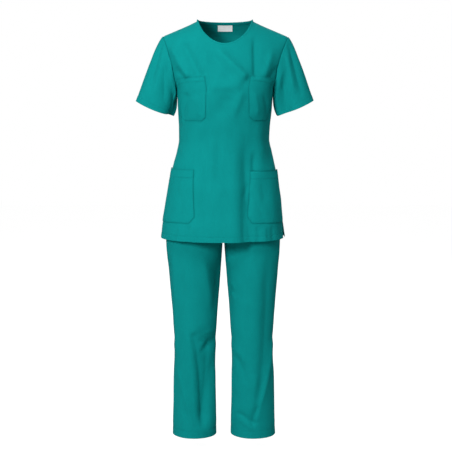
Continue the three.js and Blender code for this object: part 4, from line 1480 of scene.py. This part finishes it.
# Cuts, in metres and square metres: flat width and length, flat area with the hems and seams left
# off, how the sheet is held, the sheets it is sewn to, and the stitching on it
Cut = namedtuple("Cut", "piece flat area held sewn_to stitched")
CUTS = [
    Cut("tunic_front", (0.50, 0.73), 0.345, "hung", [], ["tunic"]),
    Cut("tunic_back", (0.50, 0.73), 0.350, "hung", ["tunic_front"], []),
    Cut("sleeve_left", (0.38, 0.235), 0.063, "hung", ["tunic_front", "tunic_back"], ["sleeves"]),
    Cut("sleeve_right", (0.38, 0.235), 0.063, "hung", ["tunic_front", "tunic_back"], []),
    Cut("chest_pocket_left", (0.11, 0.147), 0.015, "laid", ["tunic_front"], ["pockets"]),
    Cut("chest_pocket_right", (0.11, 0.147), 0.015, "laid", ["tunic_front"], []),
    Cut("hip_pocket_left", (0.17, 0.184), 0.030, "laid", ["tunic_front"], []),
    Cut("hip_pocket_right", (0.17, 0.184), 0.030, "laid", ["tunic_front"], []),
    Cut("neck_binding", (0.44, 0.0105), None, "folded", ["tunic_front", "tunic_back"], ["neck"]),
    Cut("back_neck_tape", (0.215, 0.0105), None, "laid", ["tunic_back"], []),
    Cut("neck_label", (0.05, 0.0245), None, "laid", ["tunic_back"], []),
    Cut("waistband", (0.82, 0.04), None, "gathered", [], []),
    Cut("trouser_front_left", (0.30, 0.98), 0.240, "hung", ["waistband"], ["trousers"]),
    Cut("trouser_front_right", (0.30, 0.98), 0.240, "hung", ["waistband"], []),
    Cut("trouser_back_left", (0.31, 0.98), 0.243, "hung", ["waistband"], []),
    Cut("trouser_back_right", (0.31, 0.98), 0.243, "hung", ["waistband"], []),
]
for cut in CUTS:
    ["cloth_" + name for name in cut.sewn_to]
    [bpy.data.objects["stitches_" + name] for name in cut.stitched]


# Floor and light
def stage_floor():
    bm = bmesh.new()
    bmesh.ops.create_grid(bm, x_segments=1, y_segments=1, size=FLOOR_SIDE * MM / 2)
    bmesh.ops.translate(bm, vec=(0, 0, FLOOR_HEIGHT * MM), verts=bm.verts)
    mesh = bpy.data.meshes.new("floor")
    bm.to_mesh(mesh)
    bm.free()
    floor = bpy.data.objects.new("floor", mesh)
    material = bpy.data.materials.new("Pale floor")
    material.use_nodes = True
    tree = material.node_tree
    surface = tree.nodes["Principled BSDF"]
    surface.inputs["Base Color"].default_value = (0.3, 0.3, 0.3, 1)
    surface.inputs["Roughness"].default_value = 0.9
    surface.inputs["Emission Color"].default_value = (1, 1, 1, 1)
    rays = new_node(tree, "ShaderNodeLightPath")
    glow = math_node(tree, "MULTIPLY", rays.outputs["Is Camera Ray"], 0.9)
    link(tree, glow, surface.inputs["Emission Strength"])
    mesh.materials.append(material)
    bpy.context.scene.collection.objects.link(floor)


def area_light(name, place, aim, size, power):
    data = bpy.data.lights.new(name, "AREA")
    data.size = size * MM
    data.energy = power
    light = bpy.data.objects.new(name, data)
    light.location = Vector(place) * MM
    way = (Vector(aim) - Vector(place)).normalized()
    light.rotation_euler = way.to_track_quat("-Z", "Y").to_euler()
    bpy.context.scene.collection.objects.link(light)


def pale_world(ambient, seen):
    world = bpy.data.worlds.new("Studio")
    world.use_nodes = True
    tree = world.node_tree
    tree.nodes.clear()
    soft = new_node(tree, "ShaderNodeBackground")
    soft.inputs["Strength"].default_value = ambient
    backdrop = new_node(tree, "ShaderNodeBackground")
    backdrop.inputs["Strength"].default_value = seen
    rays = new_node(tree, "ShaderNodeLightPath")
    both = new_node(tree, "ShaderNodeMixShader")
    out = new_node(tree, "ShaderNodeOutputWorld")
    for node in (soft, backdrop):
        node.inputs["Color"].default_value = (1, 1, 1, 1)
    link(tree, rays.outputs["Is Camera Ray"], both.inputs[0])
    link(tree, soft.outputs[0], both.inputs[1])
    link(tree, backdrop.outputs[0], both.inputs[2])
    link(tree, both.outputs[0], out.inputs["Surface"])
    bpy.context.scene.world = world


stage_floor()
pale_world(0.25, 1.0)
area_light("key", (-1700, -3000, 700), (0, 0, -600), 900, 83)
area_light("top", (100, -2200, 2700), (0, 0, -700), 1300, 42)
area_light("fill", (1100, -2900, -500), (0, 0, -500), 1600, 4)
area_light("back", (0, 2800, 1200), (0, 0, -700), 2400, 50)
bpy.context.scene.view_settings.view_transform = "Standard"
